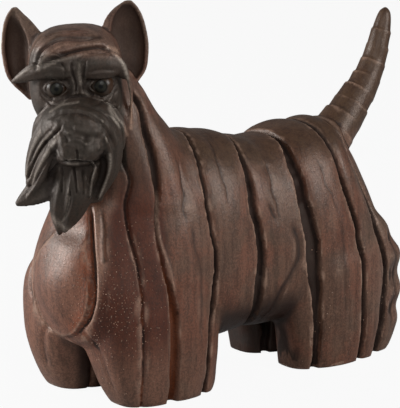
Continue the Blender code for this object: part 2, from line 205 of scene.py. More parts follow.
def in_head(points):
    """The r, f and z of points in the head's axes: the reverse of head_point."""
    c, s = math.cos(HEAD_TURN), math.sin(HEAD_TURN)
    x, y = points[:, 0] - HEAD_X, points[:, 1] - HEAD_Y
    r, f = x * c + y * s, x * s - y * c
    above = points[:, 2] - HEAD_LEAN_ABOUT_Z
    c, s = math.cos(HEAD_LEAN), math.sin(HEAD_LEAN)
    return r * c + above * s, f, HEAD_LEAN_ABOUT_Z - r * s + above * c


# %% [markdown]
# `Clay` is how a modeller would work: lumps are pushed together, and then one skin is drawn round
# the lot. In Blender that is a voxel Remesh, followed by a little smoothing. It takes closed forms
# that overlap in any way, which suits a figure better than joining them one by one with Booleans.

# %% Clay
class Clay:
    """Closed forms collected as loose shells, ready to be fused."""

    def __init__(self):
        self.points, self.faces = [], []

    def loft(self, rings):
        """Skins a run of rings with the same count, and caps both ends."""
        base = len(self.points)
        n = len(rings[0])
        for ring in rings:
            self.points.extend(map(tuple, ring))
        for k in range(len(rings) - 1):
            a, b = base + k * n, base + (k + 1) * n
            for i in range(n):
                j = (i + 1) % n
                self.faces.append((a + i, a + j, b + j, b + i))
        last = base + (len(rings) - 1) * n
        self.faces.append(tuple(range(base + n - 1, base - 1, -1)))
        self.faces.append(tuple(range(last, last + n)))

    def add(self, mesh):
        base = len(self.points)
        self.points.extend(tuple(v.co) for v in mesh.vertices)
        self.faces.extend(tuple(base + v for v in p.vertices) for p in mesh.polygons)

    def fuse(self, name, voxel, smoothing):
        """One skin round all the forms, with its joins softened."""
        fused = put(name, mesh_of(name, self.points, self.faces))
        remesh = fused.modifiers.new("fuse", "REMESH")
        remesh.mode = "VOXEL"
        remesh.voxel_size = voxel
        if smoothing:
            smooth = fused.modifiers.new("soften", "SMOOTH")
            smooth.factor = 0.5
            smooth.iterations = smoothing
        return baked(fused)


def mesh_of(name, points, faces, edges=()):
    mesh = bpy.data.meshes.new(name)
    mesh.from_pydata([tuple(p) for p in points], list(edges), list(faces))
    return mesh


def baked(obj):
    """The object's evaluated mesh; the object itself is removed."""
    graph = bpy.context.evaluated_depsgraph_get()
    mesh = bpy.data.meshes.new_from_object(obj.evaluated_get(graph))
    name = obj.name
    bpy.data.objects.remove(obj)
    mesh.name = name
    return mesh


def coordinates(mesh):
    points = np.empty(len(mesh.vertices) * 3, np.float32)
    mesh.vertices.foreach_get("co", points)
    normals = np.empty(len(mesh.vertices) * 3, np.float32)
    mesh.vertices.foreach_get("normal", normals)
    return points.reshape(-1, 3).astype(float), normals.reshape(-1, 3).astype(float)


def moved(mesh, offsets):
    points, _ = coordinates(mesh)
    mesh.vertices.foreach_set("co", (points + offsets).astype(np.float32).ravel())
    mesh.update()


# %% [markdown]
# ## The body
#
# The trunk is a row of upright rings from breast to rump, each with its own top, bottom and width.
# The legs are short columns of level rings, and the neck and the breast are stacks of rings too.
# These are the sizes of the plain solid, so that what is drawn here lies on it.

# %% Trunk, legs and neck
TRUNK_STATIONS = [  # y, top z, bottom z, half width, how far the width draws in upwards
    (-133, 138, 76, 30, 0.3),
    (-128, 164, 60, 52, 0.5),
    (-117, 192, 53, 60, 0.45),
    (-92, 217, 48, 66, 0.3),
    (-55, 230, 45, 69, 0.12),
    (-15, 232, 43, 68, 0.08),
    (35, 226, 42, 65, 0.05),
    (66, 214, 42, 63, 0.05),
    (105, 221, 44, 65, 0.05),
    (146, 228, 46, 66, 0.1),
    (170, 217, 47, 64, 0.3),
    (185, 202, 48, 60, 0.45),
    (196, 180, 50, 55, 0.45),
    (205, 158, 54, 46, 0.3),
    (212, 136, 62, 32, 0.1),
]
TRUNK_WIDEST_Z = 108.0
TRUNK_SQUARENESS, LEG_SQUARENESS, NECK_SQUARENESS = 2.6, 3.2, 2.2
FRONT_LEG_STATIONS = [  # z, front y, rear y, inner x, outer x
    (-8, -88, -8, 19, 60),
    (0, -95, 0, 14, 64),
    (8, -100, 3, 12, 66),
    (20, -106, 4, 10, 67.5),
    (35, -111, 5, 7, 69),
    (57, -116, 6, 1, 70),
    (88, -118, 9, 0, 70),
    (110, -113, 6, 0, 67),
    (124, -100, -2, 6, 62),
    (138, -84, -16, 14, 54),
]
HIND_LEG_STATIONS = [
    (-8, 99, 206, 12, 60),
    (0, 98, 217, 9, 63),
    (8, 97, 222, 8, 65),
    (30, 94, 230, 7, 68),
    (60, 89, 232, 7, 69),
    (92, 89, 231, 7, 69),
    (108, 97, 226, 9, 66),
    (120, 104, 217, 12, 63),
    (132, 122, 205, 16, 60),
    (142, 142, 194, 22, 54),
]
FRONT_LEG_DRAW_IN, HIND_LEG_DRAW_IN = 0.05, 0.54  # how far the width draws in towards the rear
NEAR_LEG_STEP_Y = -4
FAR_LEG_STEP_X, FAR_LEG_STEP_Y, FAR_LEG_BREADTH = -6, -13, 1.12
CHEST_STATIONS = [  # y, z, half width, half depth
    (-96, 178, 20, 16),
    (-106, 152, 38, 26),
    (-111, 128, 45, 29),
    (-112, 108, 44, 30),
    (-112, 90, 36, 29),
    (-111, 75, 24, 25),
    (-108, 62, 11, 19),
    (-104, 54, 3, 12),
]
NECK_STATIONS = [
    (-52, 176, 60, 60),
    (-66, 222, 50, 50),
    (-84, 254, 42, 43),
    (-100, 294, 36, 36),
]


def trunk_rings():
    ux, uz = superellipse(56, TRUNK_SQUARENESS)
    rings = []
    for y, top, bottom, half, draw_in in smooth_through(TRUNK_STATIONS, 70):
        reach = np.where(uz > 0, top - TRUNK_WIDEST_Z, TRUNK_WIDEST_Z - bottom)
        width = half * (1 - draw_in * np.maximum(uz, 0))
        rings.append(np.stack([width * ux, 0 * ux + y, TRUNK_WIDEST_Z + reach * uz], 1))
    return rings


def leg_rings(stations, draw_in, side, step_x=0, step_y=0, breadth=1.0):
    ul, uw = superellipse(40, LEG_SQUARENESS)
    rings = []
    for z, front, rear, inner, outer in smooth_through(stations, 30):
        along = step_y + (front + rear) / 2 + (rear - front) / 2 * ul
        across = breadth * (outer - inner) / 2 * uw * (1 - draw_in * np.maximum(ul, 0))
        x = side * (inner + outer) / 2 + step_x + across
        rings.append(np.stack([x, along, 0 * along + z], 1))
    return rings


def standing_rings(stations):
    """Level rings from rows of (y, z, half width, half depth)."""
    ux, uy = superellipse(40, NECK_SQUARENESS)
    return [
        np.stack([half * ux, y + depth * uy, 0 * ux + z], 1)
        for y, z, half, depth in smooth_through(stations, 24)
    ]


# %% [markdown]
# The skull is a squared ball in the head's axes. Everything so far is fused coarsely and smoothed
# more than the rest will be, because flesh flows where a leg meets a body.

# %% Skull and first fuse
SKULL_CENTRE = (0.0, 0.0, 291.0)
SKULL_RADII = (41.0, 44.0, 45.0)
SKULL_SQUARENESS = 2.9
MASS_VOXEL, MASS_SMOOTHING = 4.0, 5


def ball_rings(centre, radii, squareness=2.0):
    """Level rings of an ellipsoid in the head's axes, or of a squarer one."""
    ux, uy = superellipse(40, squareness)
    rings = []
    for angle in np.linspace(-math.pi / 2, math.pi / 2, 26)[1:-1]:
        lift, spread = math.sin(angle), math.cos(angle)
        high = math.copysign(abs(lift) ** (2 / squareness), lift)
        wide = spread ** (2 / squareness)
        rings.append(head_point(
            centre[0] + radii[0] * wide * ux,
            centre[1] + radii[1] * wide * uy,
            centre[2] + radii[2] * high + 0 * ux,
        ))
    return rings


def body_mass():
    clay = Clay()
    clay.loft(trunk_rings())
    clay.loft(leg_rings(FRONT_LEG_STATIONS, FRONT_LEG_DRAW_IN, 1, step_y=NEAR_LEG_STEP_Y))
    clay.loft(leg_rings(
        FRONT_LEG_STATIONS, FRONT_LEG_DRAW_IN, -1, FAR_LEG_STEP_X, FAR_LEG_STEP_Y, FAR_LEG_BREADTH
    ))
    for side in (1, -1):
        clay.loft(leg_rings(HIND_LEG_STATIONS, HIND_LEG_DRAW_IN, side))
    clay.loft(standing_rings(CHEST_STATIONS))
    clay.loft(standing_rings(NECK_STATIONS))
    clay.loft(ball_rings(SKULL_CENTRE, SKULL_RADII, SKULL_SQUARENESS))
    return clay.fuse("mass", MASS_VOXEL, MASS_SMOOTHING)


MASS = body_mass()
told(f"body mass {len(MASS.vertices)} points")

# %% [markdown]
# ## The straps
#
# Each strap ends at the rear in a free edge, with a gap behind it before the next one starts. An
# edge is a curve down the flank, given as rows of height, place along the body and width of the
# gap. Where a gap is wide it is also deep, with a steep wall on both sides and a flat dark floor;
# where it narrows to a millimetre it is only a crack. Both flanks carry the same pattern, because
# the straps hoop over the back.

# %% Where the straps end
STRAP_EDGES = {  # z, y, width of the gap behind
    "shoulder": [
        (300, -104, 1.2), (240, -98, 1.8), (203, -93.5, 2.2), (177, -95.5, 2.2), (154, -97.5, 2.2),
        (130, -95.5, 2), (111, -94.5, 1.8), (86, -94.5, 1.6), (51, -94.5, 1.6), (0, -91, 1.4),
    ],
    "withers": [
        (300, -93, 2), (283, -88, 6), (268, -79, 7.5), (250, -75, 7.5), (232, -74.5, 8),
        (214, -72, 8), (200, -71, 7), (188, -71, 5), (176, -72, 3.2), (160, -73, 2.2),
        (142, -74, 2.2), (120, -70, 2.6), (106, -67, 4.5), (84, -66, 9), (61, -65, 9), (0, -63, 9),
    ],
    "rib": [
        (236, -5, 3.2), (229, -9, 3.4), (221, -13, 3.4), (205, -16, 3.4), (185, -18, 3.4),
        (152, -17, 3.4), (137, -14, 3.5), (101, -15, 4.8), (68, -19, 6), (0, -22, 6),
    ],
    "waist": [
        (232, 47, 2.5), (222, 41, 3.5), (211, 36.5, 4.5), (198, 34, 6.5), (163, 32, 9),
        (144, 37, 8.5), (112, 38, 10), (92, 36, 11), (60, 38, 11), (0, 44, 11),
    ],
    "loin": [
        (232, 100, 2.6), (218, 92, 4.2), (211, 92, 5.5), (195, 89, 10), (159, 91, 12),
        (136, 94, 15), (108, 97, 16), (86, 101, 12.5), (62, 106, 8), (31, 108, 6.5), (0, 109, 6),
    ],
    "hip": [
        (232, 130, 2), (215, 139, 2.6), (185, 142, 3.8), (166, 145, 6.0), (147, 151, 6.7),
        (127, 156, 6.8), (97, 160, 7.0), (58, 161, 6.6), (0, 162, 6.5),
    ],
    "thigh": [
        (232, 156, 1), (208, 164, 2), (189, 169, 3), (165, 176, 4), (145, 184, 6),
        (115, 190, 8), (90, 195, 9), (77, 196, 9), (50, 192, 11), (20, 188, 12), (0, 186, 12),
    ],
}
FIRST_STRAP_WIDTH, PAST_THE_RUMP = 48, 250
STRAP_CROWN, CROWN_POWER = 2.6, 2.6  # how far a strap's middle stands over its edges, how squarely
STRAP_LIP, LIP_REACH = 1.1, 3.0  # the turned-up rim along its free edge
CRACK_DEPTH, GAP_DEPTH = 1.3, 6.0
CRACK_WIDTH, GAP_WIDTH = 1, 6
GAP_WALL = 1.3  # how wide the wall between strap and floor looks from above
EDGE_WANDER, EDGE_WAVE = 0.7, 16  # how much an edge strays from its curve, and how quickly
OTHER_FLANK = 400.0  # how far along the other flank reads the stray, so that the two differ
RIM_WIDTH = 1.3  # of the pale line along a free edge, painted as wear and highlight
STRAPS_END_Z = (252, 272)  # between these heights the straps fade out into the head
BEHIND_EARS_Y, BEHIND_EARS_RISE = -80.0, 20.0  # back there the straps climb higher, to the ears
SCALLOP_DEPTH, SCALLOP_PITCH, SCALLOP_Z = 3.4, 34.0, 92.0  # of the wavy hem down the rump


def edge_at(keys, points, seed):
    """Where an edge lies along the body, and the gap behind it, at each point's height."""
    x, y, z = points.T
    curve = smooth_through(keys, 60)[::-1]
    side = np.where(x > 0, 0.0, OTHER_FLANK)
    stray = EDGE_WANDER * wander(np.stack([z + side, 0 * z], 1), EDGE_WAVE, seed)
    return np.interp(z, curve[:, 0], curve[:, 1]) + stray, np.interp(z, curve[:, 0], curve[:, 2])


def strap_relief(points):
    """How far each point stands out or in for the straps, and 0 to 1 in a gap and on a rim."""
    _, y, z = points.T
    edges = [edge_at(keys, points, 20 + k) for k, keys in enumerate(STRAP_EDGES.values())]
    relief, in_gap, rim_wear_and_highlight = (np.zeros(len(y)) for _ in range(3))
    front = edges[0][0] - FIRST_STRAP_WIDTH
    for rear, gap in edges + [(0 * y + PAST_THE_RUMP, 0 * y)]:
        across = np.clip((y - front) / np.maximum(rear - front, 1), 0, 1)
        here = (y >= front) & (y < rear)
        relief[here] += STRAP_CROWN * (1 - abs(2 * across[here] - 1) ** CROWN_POWER)
        relief[here] += STRAP_LIP * np.exp((y - rear)[here] / LIP_REACH)
        wall = smoothstep(-0.5 * GAP_WALL, 0.5 * GAP_WALL, y - rear)
        wall *= fade(gap - 0.3 * GAP_WALL, gap + 0.8 * GAP_WALL, y - rear)
        full = smoothstep(CRACK_WIDTH, GAP_WIDTH, gap)
        deep = CRACK_DEPTH + (GAP_DEPTH - CRACK_DEPTH) * full
        relief -= deep * wall
        in_gap = np.maximum(in_gap, wall * smoothstep(-1, 2.5, gap))
        edge = np.exp(-(((y - rear + RIM_WIDTH) / RIM_WIDTH) ** 2))
        rim_wear_and_highlight = np.maximum(rim_wear_and_highlight, edge * (0.15 + 0.85 * full))
        front = rear + gap
    hem = smoothstep(front - 45, front - 38, y) * smoothstep(15, 40, z)
    wave = 0.5 * np.cos(2 * math.pi * (z - SCALLOP_Z) / SCALLOP_PITCH) - 0.5
    relief += SCALLOP_DEPTH * wave * hem * fade(110, 130, z)
    return relief, in_gap, rim_wear_and_highlight


def straps_fade(points):
    """1 where the straps lie, and 0 on the head."""
    high = BEHIND_EARS_RISE * smoothstep(BEHIND_EARS_Y - 4, BEHIND_EARS_Y + 4, points[:, 1])
    return fade(STRAPS_END_Z[0] + high, STRAPS_END_Z[1] + high, points[:, 2])


# %% [markdown]
# Inside the straps run finer marks: hairline cracks where the material seems to have split, a
# narrow raised fold behind the withers, and the slanting line where the hind leg slips under the
# strap in front of it. Over all of it the surface swells and sinks a little, as leather does.

# %% Cracks and folds
CRACKS = {  # z, y; then width and depth
    "withers": ([(216, -40), (204, -41), (189, -42), (170, -44), (161, -44)], 1.1, 1.1),
    "withers_low": ([(158, -39), (140, -36), (118, -31), (92, -30), (60, -32)], 2.0, 0.7),
    "rib": ([(226, 11), (218, 9), (208, 6), (187, 6), (171, 8)], 1.1, 1.0),
    "waist": ([(202, 66), (182, 63), (158, 65), (147, 67)], 1.3, 0.9),
    "hip_short": ([(166, 53), (156, 58), (146, 62)], 1.6, 1.6),
    "hip": ([(196, 121), (178, 123), (159, 130), (145, 134)], 1.0, 0.9),
    "hip_low": ([(140, 136), (112, 139), (84, 138), (50, 140)], 1.8, 0.6),
    "haunch": ([(142, 82), (124, 86), (108, 85), (94, 76), (80, 67), (64, 64), (52, 55)], 3.2, 1.4),
    "breech": ([(120, 212), (96, 217), (60, 217), (20, 212)], 1.8, 0.9),
}
FOLD = [(190, -64), (167, -68), (148, -68), (131, -64), (113, -60), (101, -57)]
FOLD_HEIGHT, FOLD_WIDTH = 1.6, 2.2
FOLD_CREASE, FOLD_CREASE_WIDTH = 0.9, 1.0
CRACK_WANDER, CRACK_WAVE = 0.8, 12
SWELLS = [((34, 26, 60), 3, 0.6), ((12, 8, 30), 4, 0.22)]  # size, seed, height
FOLD_RIDGE = [(z, y - 2) for z, y in FOLD]


def groove(points, keys, width):
    """1 in the middle of a line down the flank, falling to 0 beside it and at its ends."""
    x, y, z = points.T
    curve = smooth_through(keys, 40)[::-1]
    low, high = curve[0, 0], curve[-1, 0]
    away = (y - np.interp(z, curve[:, 0], curve[:, 1])) / width
    ends = smoothstep(low - 4, low + 8, z) * fade(high - 8, high + 4, z)
    return np.exp(-away * away) * ends


def fine_relief(points):
    relief = np.zeros(len(points))
    cut = np.zeros(len(points))
    to_and_fro = CRACK_WANDER * wander(points[:, 2:], CRACK_WAVE, 7)
    stray = points + np.stack([0 * relief, to_and_fro, 0 * relief], 1)
    for keys, width, depth in CRACKS.values():
        line = groove(stray, keys, width)
        relief -= depth * line
        cut = np.maximum(cut, line * min(1, depth))
    relief += FOLD_HEIGHT * groove(points, FOLD_RIDGE, FOLD_WIDTH)
    relief -= FOLD_CREASE * groove(points, FOLD, FOLD_CREASE_WIDTH)
    swell = sum(wander(points, size, seed) * height for size, seed, height in SWELLS)
    return relief + swell, cut


# %% [markdown]
# The coarse mass gets a finer skin. Then every point of the skin moves in or out along its normal:
# for the straps and cracks, for the sockets round the eyes, and for the small steps from strap to
# strap along the top of the back.

# %% Carving the body
BODY_VOXEL = 1.5
EYES_R = (-15.0, 23.0)
EYE_F, EYE_Z = 32.6, 287.2
SOCKET_WIDTH, SOCKET_HEIGHT, SOCKET_DEPTH = 17.0, 14.0, 7.5
BACK_OVER_Z = 195
BACK_STEPS = [  # y, half width, rise
    (18, 14, -2.4),
    (60, 9, 1.6),
    (140, 14, -3.2),
    (169, 8, 6.5),
]


def socket_relief(points):
    """How far the skull is pressed in round the eyes."""
    r, f, z = in_head(points)
    relief = np.zeros(len(points))
    for eye in EYES_R:
        away = np.hypot((r - eye) / SOCKET_WIDTH, (z - EYE_Z) / SOCKET_HEIGHT)
        relief -= SOCKET_DEPTH * fade(0.3, 1.0, away) * (f > 10)
    return relief


def back_relief(points, normals):
    """How far the back rises or sinks along its top line, so that it steps from strap to strap."""
    relief = sum(
        rise * np.exp(-(((points[:, 1] - y) / half) ** 2)) for y, half, rise in BACK_STEPS
    )
    return relief * smoothstep(0.35, 0.85, normals[:, 2]) * (points[:, 2] > BACK_OVER_Z)


def carved(mass):
    clay = Clay()
    clay.add(mass)
    fine = clay.fuse("carved", BODY_VOXEL, 2)
    points, normals = coordinates(fine)
    on_body = straps_fade(points)
    relief = (strap_relief(points)[0] + fine_relief(points)[0]) * on_body
    relief += socket_relief(points) + back_relief(points, normals)
    moved(fine, normals * relief[:, None])
    return fine


BODY = carved(MASS)
told(f"carved body {len(BODY.vertices)} points")

# %% [markdown]
# ## The head
#
# Muzzle, nose, chin and throat are lofts in the head's axes. The ears are cupped leaves, open to
# the front. Each lock of moustache, beard and brow is a flattened taper swept along a path, with
# a fluted section so that it looks combed.

# %% Muzzle and ears
MUZZLE_STATIONS = [  # f, centre z, half width, half height
    (0, 247, 34, 32),
    (18, 247, 37, 33),
    (34, 247, 35, 31),
    (50, 246, 30, 27),
    (66, 244, 24, 21),
    (77, 242, 18, 16),
    (84, 241, 10, 9),
]
NOSE, NOSE_RADII = (2.0, 62.0, 243.0), (23.0, 20.0, 16.5)
BRIDGE, BRIDGE_RADII = (1.0, 47.0, 254.0), (33.0, 35.0, 25.0)
CHIN_STATIONS = [  # f, z, half width, half depth
    (40, 242, 31, 27),
    (40, 224, 29, 24),
    (40, 206, 24, 20),
    (38, 188, 18, 16),
]
THROAT_STATIONS = [
    (8, 262, 32, 34),
    (12, 232, 30, 30),
    (4, 202, 28, 27),
    (-14, 170, 30, 27),
    (-30, 140, 26, 22),
]
EAR_STATIONS = [  # z, inner edge r, outer edge r, depth of the cup
    (271, 39, 43.5, 4),
    (276, 36, 48, 8),
    (284, 31, 56, 12),
    (294, 28, 62, 15),
    (312, 24, 64.5, 16),
    (326, 24, 63.5, 15),
    (338, 28, 61, 12),
    (347, 36, 57, 8),
    (353, 46, 52, 4),
]
EAR_RIM = 3.0
EAR_HOLLOW = 0.68  # depth of the cup's inside, as a share of the cup
EAR_BROAD_WALL = {1: 0.2, -1: 0.4}  # share of the ear's width taken by the wall next to the skull
EAR_FRONT_F = -8.0
EAR_OUTWARD = math.radians(14)
EAR_TRIM = {1: 0.0, -1: 6.0}  # how far the inner edge draws back near the tip
MUZZLE_SQUARENESS, THROAT_SQUARENESS = 2.3, 2.2


def head_rings(stations, squareness, upright):
    """Rings in the head's axes: upright ones round the muzzle, level ones down the throat."""
    ur, other = superellipse(32, squareness)
    rings = []
    for f, z, half, deep in smooth_through(stations, 20):
        ahead, above = (0 * ur, deep * other) if upright else (deep * other, 0 * ur)
        rings.append(head_point(half * ur, f + ahead, z + above))
    return rings


def ear_rings(side):
    """A cupped leaf, open to the front: side is 1 for the dog's left ear."""
    arc = np.linspace(0, math.pi, 17)
    rings = []
    for z, inner_edge, outer_edge, cup in smooth_through(EAR_STATIONS, 36):
        inner_edge += EAR_TRIM[side] * smoothstep(318, 342, z) * smoothstep(356, 346, z)
        middle, half = (inner_edge + outer_edge) / 2, (outer_edge - inner_edge) / 2
        broad, rim = EAR_BROAD_WALL[side] * 2 * half, min(EAR_RIM, 0.4 * half)
        inside = max(half - (broad + rim) / 2, 0.3)
        hollow = max(EAR_HOLLOW * cup - 2.0, 0.3) * min(1, inside / 8)
        across = np.concatenate(
            [half * np.cos(arc), (broad - rim) / 2 + inside * np.cos(arc[::-1])]
        )
        back = np.concatenate([cup * np.sin(arc), hollow * np.sin(arc[::-1])])
        f = EAR_FRONT_F - back - across * math.sin(EAR_OUTWARD)
        rings.append(head_point(side * (middle + across), f, z + 0 * f))
    return rings


# %% [markdown]
# A lock is named for its place and its side. Its path is given in the head's axes, so that it can
# be followed from the middle of the face outwards and down.

# %% Locks of hair
LOCKS = {  # points (r, f, z) along the lock, width, thickness
    "bridge_right": (
        [(-1, 40, 277), (-18, 42, 271), (-30, 37, 259), (-36, 31, 243), (-38, 28, 233)], 14, 9,
    ),
    "cheek_right": (
        [(-2, 58, 267), (-17, 60, 259), (-29, 55, 243), (-38, 49, 224), (-45, 44, 206)], 25, 12,
    ),
    "lip_right": (
        [(-10, 68, 256), (-18, 65, 241), (-27, 58, 224), (-36, 50, 208), (-46, 46, 195)], 15, 14,
    ),
    "sweep_right": ([(-14, 54, 226), (-24, 51, 211), (-38, 46, 200), (-57, 43, 189)], 28, 10),
    "bridge_left": (
        [(1, 40, 277), (18, 41, 272), (31, 34, 262), (38, 27, 247), (37, 26, 228)], 14, 9,
    ),
    "cheek_left": (
        [(6, 62, 267), (17, 62, 262), (27, 56, 251), (29, 52, 235), (26, 50, 217),
         (18, 50, 201), (12, 49, 189)],
        22, 15,
    ),
    "fold_left": (
        [(19, 70, 256), (25, 66, 243), (27, 63, 229), (26, 61, 216), (20, 57, 204), (14, 53, 191)],
        7, 9,
    ),
    "thread_left": ([(14, 66, 226), (14, 65, 218), (10, 62, 207), (8, 58, 193)], 3.4, 5),
    "beard_right": ([(-12, 53, 222), (-17, 53, 200), (-21, 48, 181), (-21, 41, 160)], 18, 14),
    "beard_left": ([(2, 55, 226), (0, 56, 203), (-7, 51, 183), (-18, 43, 163)], 26, 16),
}
BROWS = {
    "brow_right": (
        [(5, 38, 304), (-8, 43, 306), (-20, 42, 307), (-35, 37, 302), (-54, 26, 293)], 22, 9,
    ),
    "brow_left": (
        [(6, 41, 303), (17, 43, 305), (29, 40, 304), (39, 33, 300), (43, 24, 290)], 23, 8,
    ),
    "face_rim": (
        [(30, 37, 316), (38, 34, 311), (44, 29, 300), (46.5, 24, 288), (47.5, 18, 275),
         (46.5, 16, 262), (45.5, 18, 244)],
        3.8, 6,
    ),
}
STRANDS, STRAND_DEPTH = 9, 0.05
LOCK_RINGS = 24


def lock_frame(points, outward):
    """The path of a lock, and the two directions across it: sideways and outwards."""
    path = smooth_through(points, LOCK_RINGS)
    tangent = unit(np.gradient(path, axis=0))
    outward = np.asarray(outward, float)
    facing = unit(outward - tangent * (tangent @ outward)[:, None])
    return path, np.cross(tangent, facing), facing


def lock_rings(points, width, thickness, outward):
    """A lock of hair: a flattened taper swept along its points."""
    path, across, facing = lock_frame(points, outward)
    ua, ub = superellipse(36, 2.0)
    strands = 1 + STRAND_DEPTH * np.cos(STRANDS * np.arctan2(ub, ua))
    ua, ub = ua * strands, ub * strands
    rings = []
    for k, t in enumerate(np.linspace(0, 1, len(path))):
        taper = math.sin(math.pi * (0.22 + 0.76 * t)) ** 0.75
        ring = (
            path[k]
            + np.outer(0.5 * width * taper * ua, across[k])
            + np.outer(0.5 * thickness * (0.3 + 0.7 * taper) * ub, facing[k])
        )
        rings.append(head_point(*ring.T))
    return rings


def lean_of(name):
    """Which way a lock faces in the head's axes: brows forwards, cheeks a little to their side."""
    lean = 0.0 if name in BROWS else 0.5 if name.endswith("left") else -0.5
    return (lean, 0.85, 0.1)


EYELID_HALF_WIDTH, EYELID_HALF_HEIGHT, EYELID_THICKNESS = 10.0, 6.6, 3.4
EYELID_SUNK = 3.2
EYELID_CORNERS = 0.4  # how much the opening narrows towards its corners


def eyelid_rings(eye):
    """A closed almond-shaped rim that follows the face round one eye."""
    turn = np.linspace(0, 2 * math.pi, 37)
    r = eye + EYELID_HALF_WIDTH * np.cos(turn)
    z = EYE_Z + EYELID_HALF_HEIGHT * np.sin(turn) * (1 - EYELID_CORNERS * np.cos(turn) ** 2)
    face = 1 - (abs(r) / SKULL_RADII[0]) ** SKULL_SQUARENESS
    f = SKULL_RADII[1] * face ** (1 / SKULL_SQUARENESS) - EYELID_SUNK
    middle = np.stack([r, f, z], 1)
    tangent = np.gradient(middle, axis=0)
    tangent[0] = tangent[-1] = middle[1] - middle[-2]
    outward = np.array([0.0, 1.0, 0.0])
    across = np.cross(unit(tangent), outward)
    ua, ub = superellipse(12, 2.0)
    return [
        head_point(*(p + EYELID_THICKNESS / 2 * (np.outer(ua, a) + np.outer(ub, outward))).T)
        for p, a in zip(middle, across)
    ]


# %% [markdown]
# ## The tail
#
# The tail is wrapped in cuffs, each a little wider at its upper rim than where it comes out of the
# last one. They repeat along a path, which is what Geometry Nodes do well. `Grower` writes a node
# tree much as it would be drawn: named inputs on the left, and the result on the right.

# %% Geometry Nodes helper
def feed(tree, socket, value):
    """Puts a value into a socket, or links another socket to it."""
    value = getattr(value, "socket", value)
    if isinstance(value, bpy.types.NodeSocket):
        tree.links.new(value, socket)
    else:
        socket.default_value = value


def new_node(tree, kind, settings, inputs):
    """Makes a node: its settings first, then what goes into its sockets."""
    made = tree.nodes.new(kind)
    for key, value in settings.items():
        setattr(made, key, value)
    for key, value in inputs.items():
        feed(tree, made.inputs[key], value)
    return made


class Grower:
    """One Geometry Nodes tree, applied to an object as a modifier and then baked."""

    def __init__(self, name, **inputs):
        self.tree = bpy.data.node_groups.new(name, "GeometryNodeTree")
        face = self.tree.interface
        face.new_socket("Geometry", in_out="INPUT", socket_type="NodeSocketGeometry")
        face.new_socket("Geometry", in_out="OUTPUT", socket_type="NodeSocketGeometry")
        self.identifiers = {}
        for label, kind in inputs.items():
            made = face.new_socket(label, in_out="INPUT", socket_type="NodeSocket" + kind)
            self.identifiers[label] = made.identifier
        self.start = self.tree.nodes.new("NodeGroupInput")
        self.end = self.tree.nodes.new("NodeGroupOutput")

    def node(self, kind, settings, inputs, output=0):
        return new_node(self.tree, kind, settings, inputs).outputs[output]

    def given(self, label):
        return self.start.outputs[label]

    def stored(self, name):
        return self.node("GeometryNodeInputNamedAttribute", {"data_type": "FLOAT"}, {"Name": name})

    def grow(self, host, result, material, **values):
        """Ends the tree, runs it on the host with these input values, and returns the mesh."""
        real = self.node("GeometryNodeRealizeInstances", {}, {"Geometry": result})
        last = self.node(
            "GeometryNodeSetMaterial", {}, {"Geometry": real, "Material": self.given("Material")}
        )
        feed(self.tree, self.end.inputs[0], last)
        modifier = host.modifiers.new(self.tree.name, "NODES")
        modifier.node_group = self.tree
        for label, value in {**values, "Material": material}.items():
            modifier[self.identifiers[label]] = value
        return baked(host)


# %% [markdown]
# One cuff is turned from a profile like a cup without a handle. The tree resamples the tail's path
# into one point a cuff, stands a cup on each point along the path, scales it by the radius stored
# on the path, and tips every one a little differently.

# %% Tail cuffs
TAIL_STATIONS = [  # y, z, radius
    (164, 186, 20),
    (180, 206, 21.5),
    (198, 223, 18.5),
    (216, 244, 15.5),
    (231, 266, 12.5),
    (240, 288, 10.5),
    (244.5, 305, 8.8),
    (247.5, 317, 6.0),
    (248.5, 322, 1.5),
]
TAIL_CORE = 0.94  # of the tail's radius: what shows between the cuffs and as its round tip
TAIL_CUFFS = 10
TAIL_PATH_SHARE = 0.72  # where the rim of the last cuff lies; the round tip stands out of it
CUFF_PROFILE = [  # share of the tail's radius, share of a cuff's length
    (1.1, -1.3), (1.09, -1.0), (1.07, -0.7), (1.05, -0.35), (1.045, -0.1), (1.04, -0.02),
    (0.9, 0.03),
]
CUFF_SIDES = 36
CUFF_TIP = 0.1  # how far a cuff may tip over, in radians
TAIL_SPOTS = 60


def turned(profile, sides):
    """The points and faces of a closed turned shape."""
    angle = np.linspace(0, 2 * math.pi, sides, endpoint=False)
    clay = Clay()
    clay.loft([
        np.stack([radius * np.cos(angle), radius * np.sin(angle), 0 * angle + height], 1)
        for radius, height in profile
    ])
    return clay.points, clay.faces


def tail_core_rings():
    stations = smooth_through(TAIL_STATIONS, 50)
    way = unit(np.gradient(stations[:, :2], axis=0))
    across, ahead = superellipse(28, 2.0)
    return [
        np.stack([
            TAIL_CORE * radius * across,
            y - TAIL_CORE * radius * ahead * up,
            z + TAIL_CORE * radius * ahead * along,
        ], 1)
        for (y, z, radius), (along, up) in zip(stations, way)
    ]


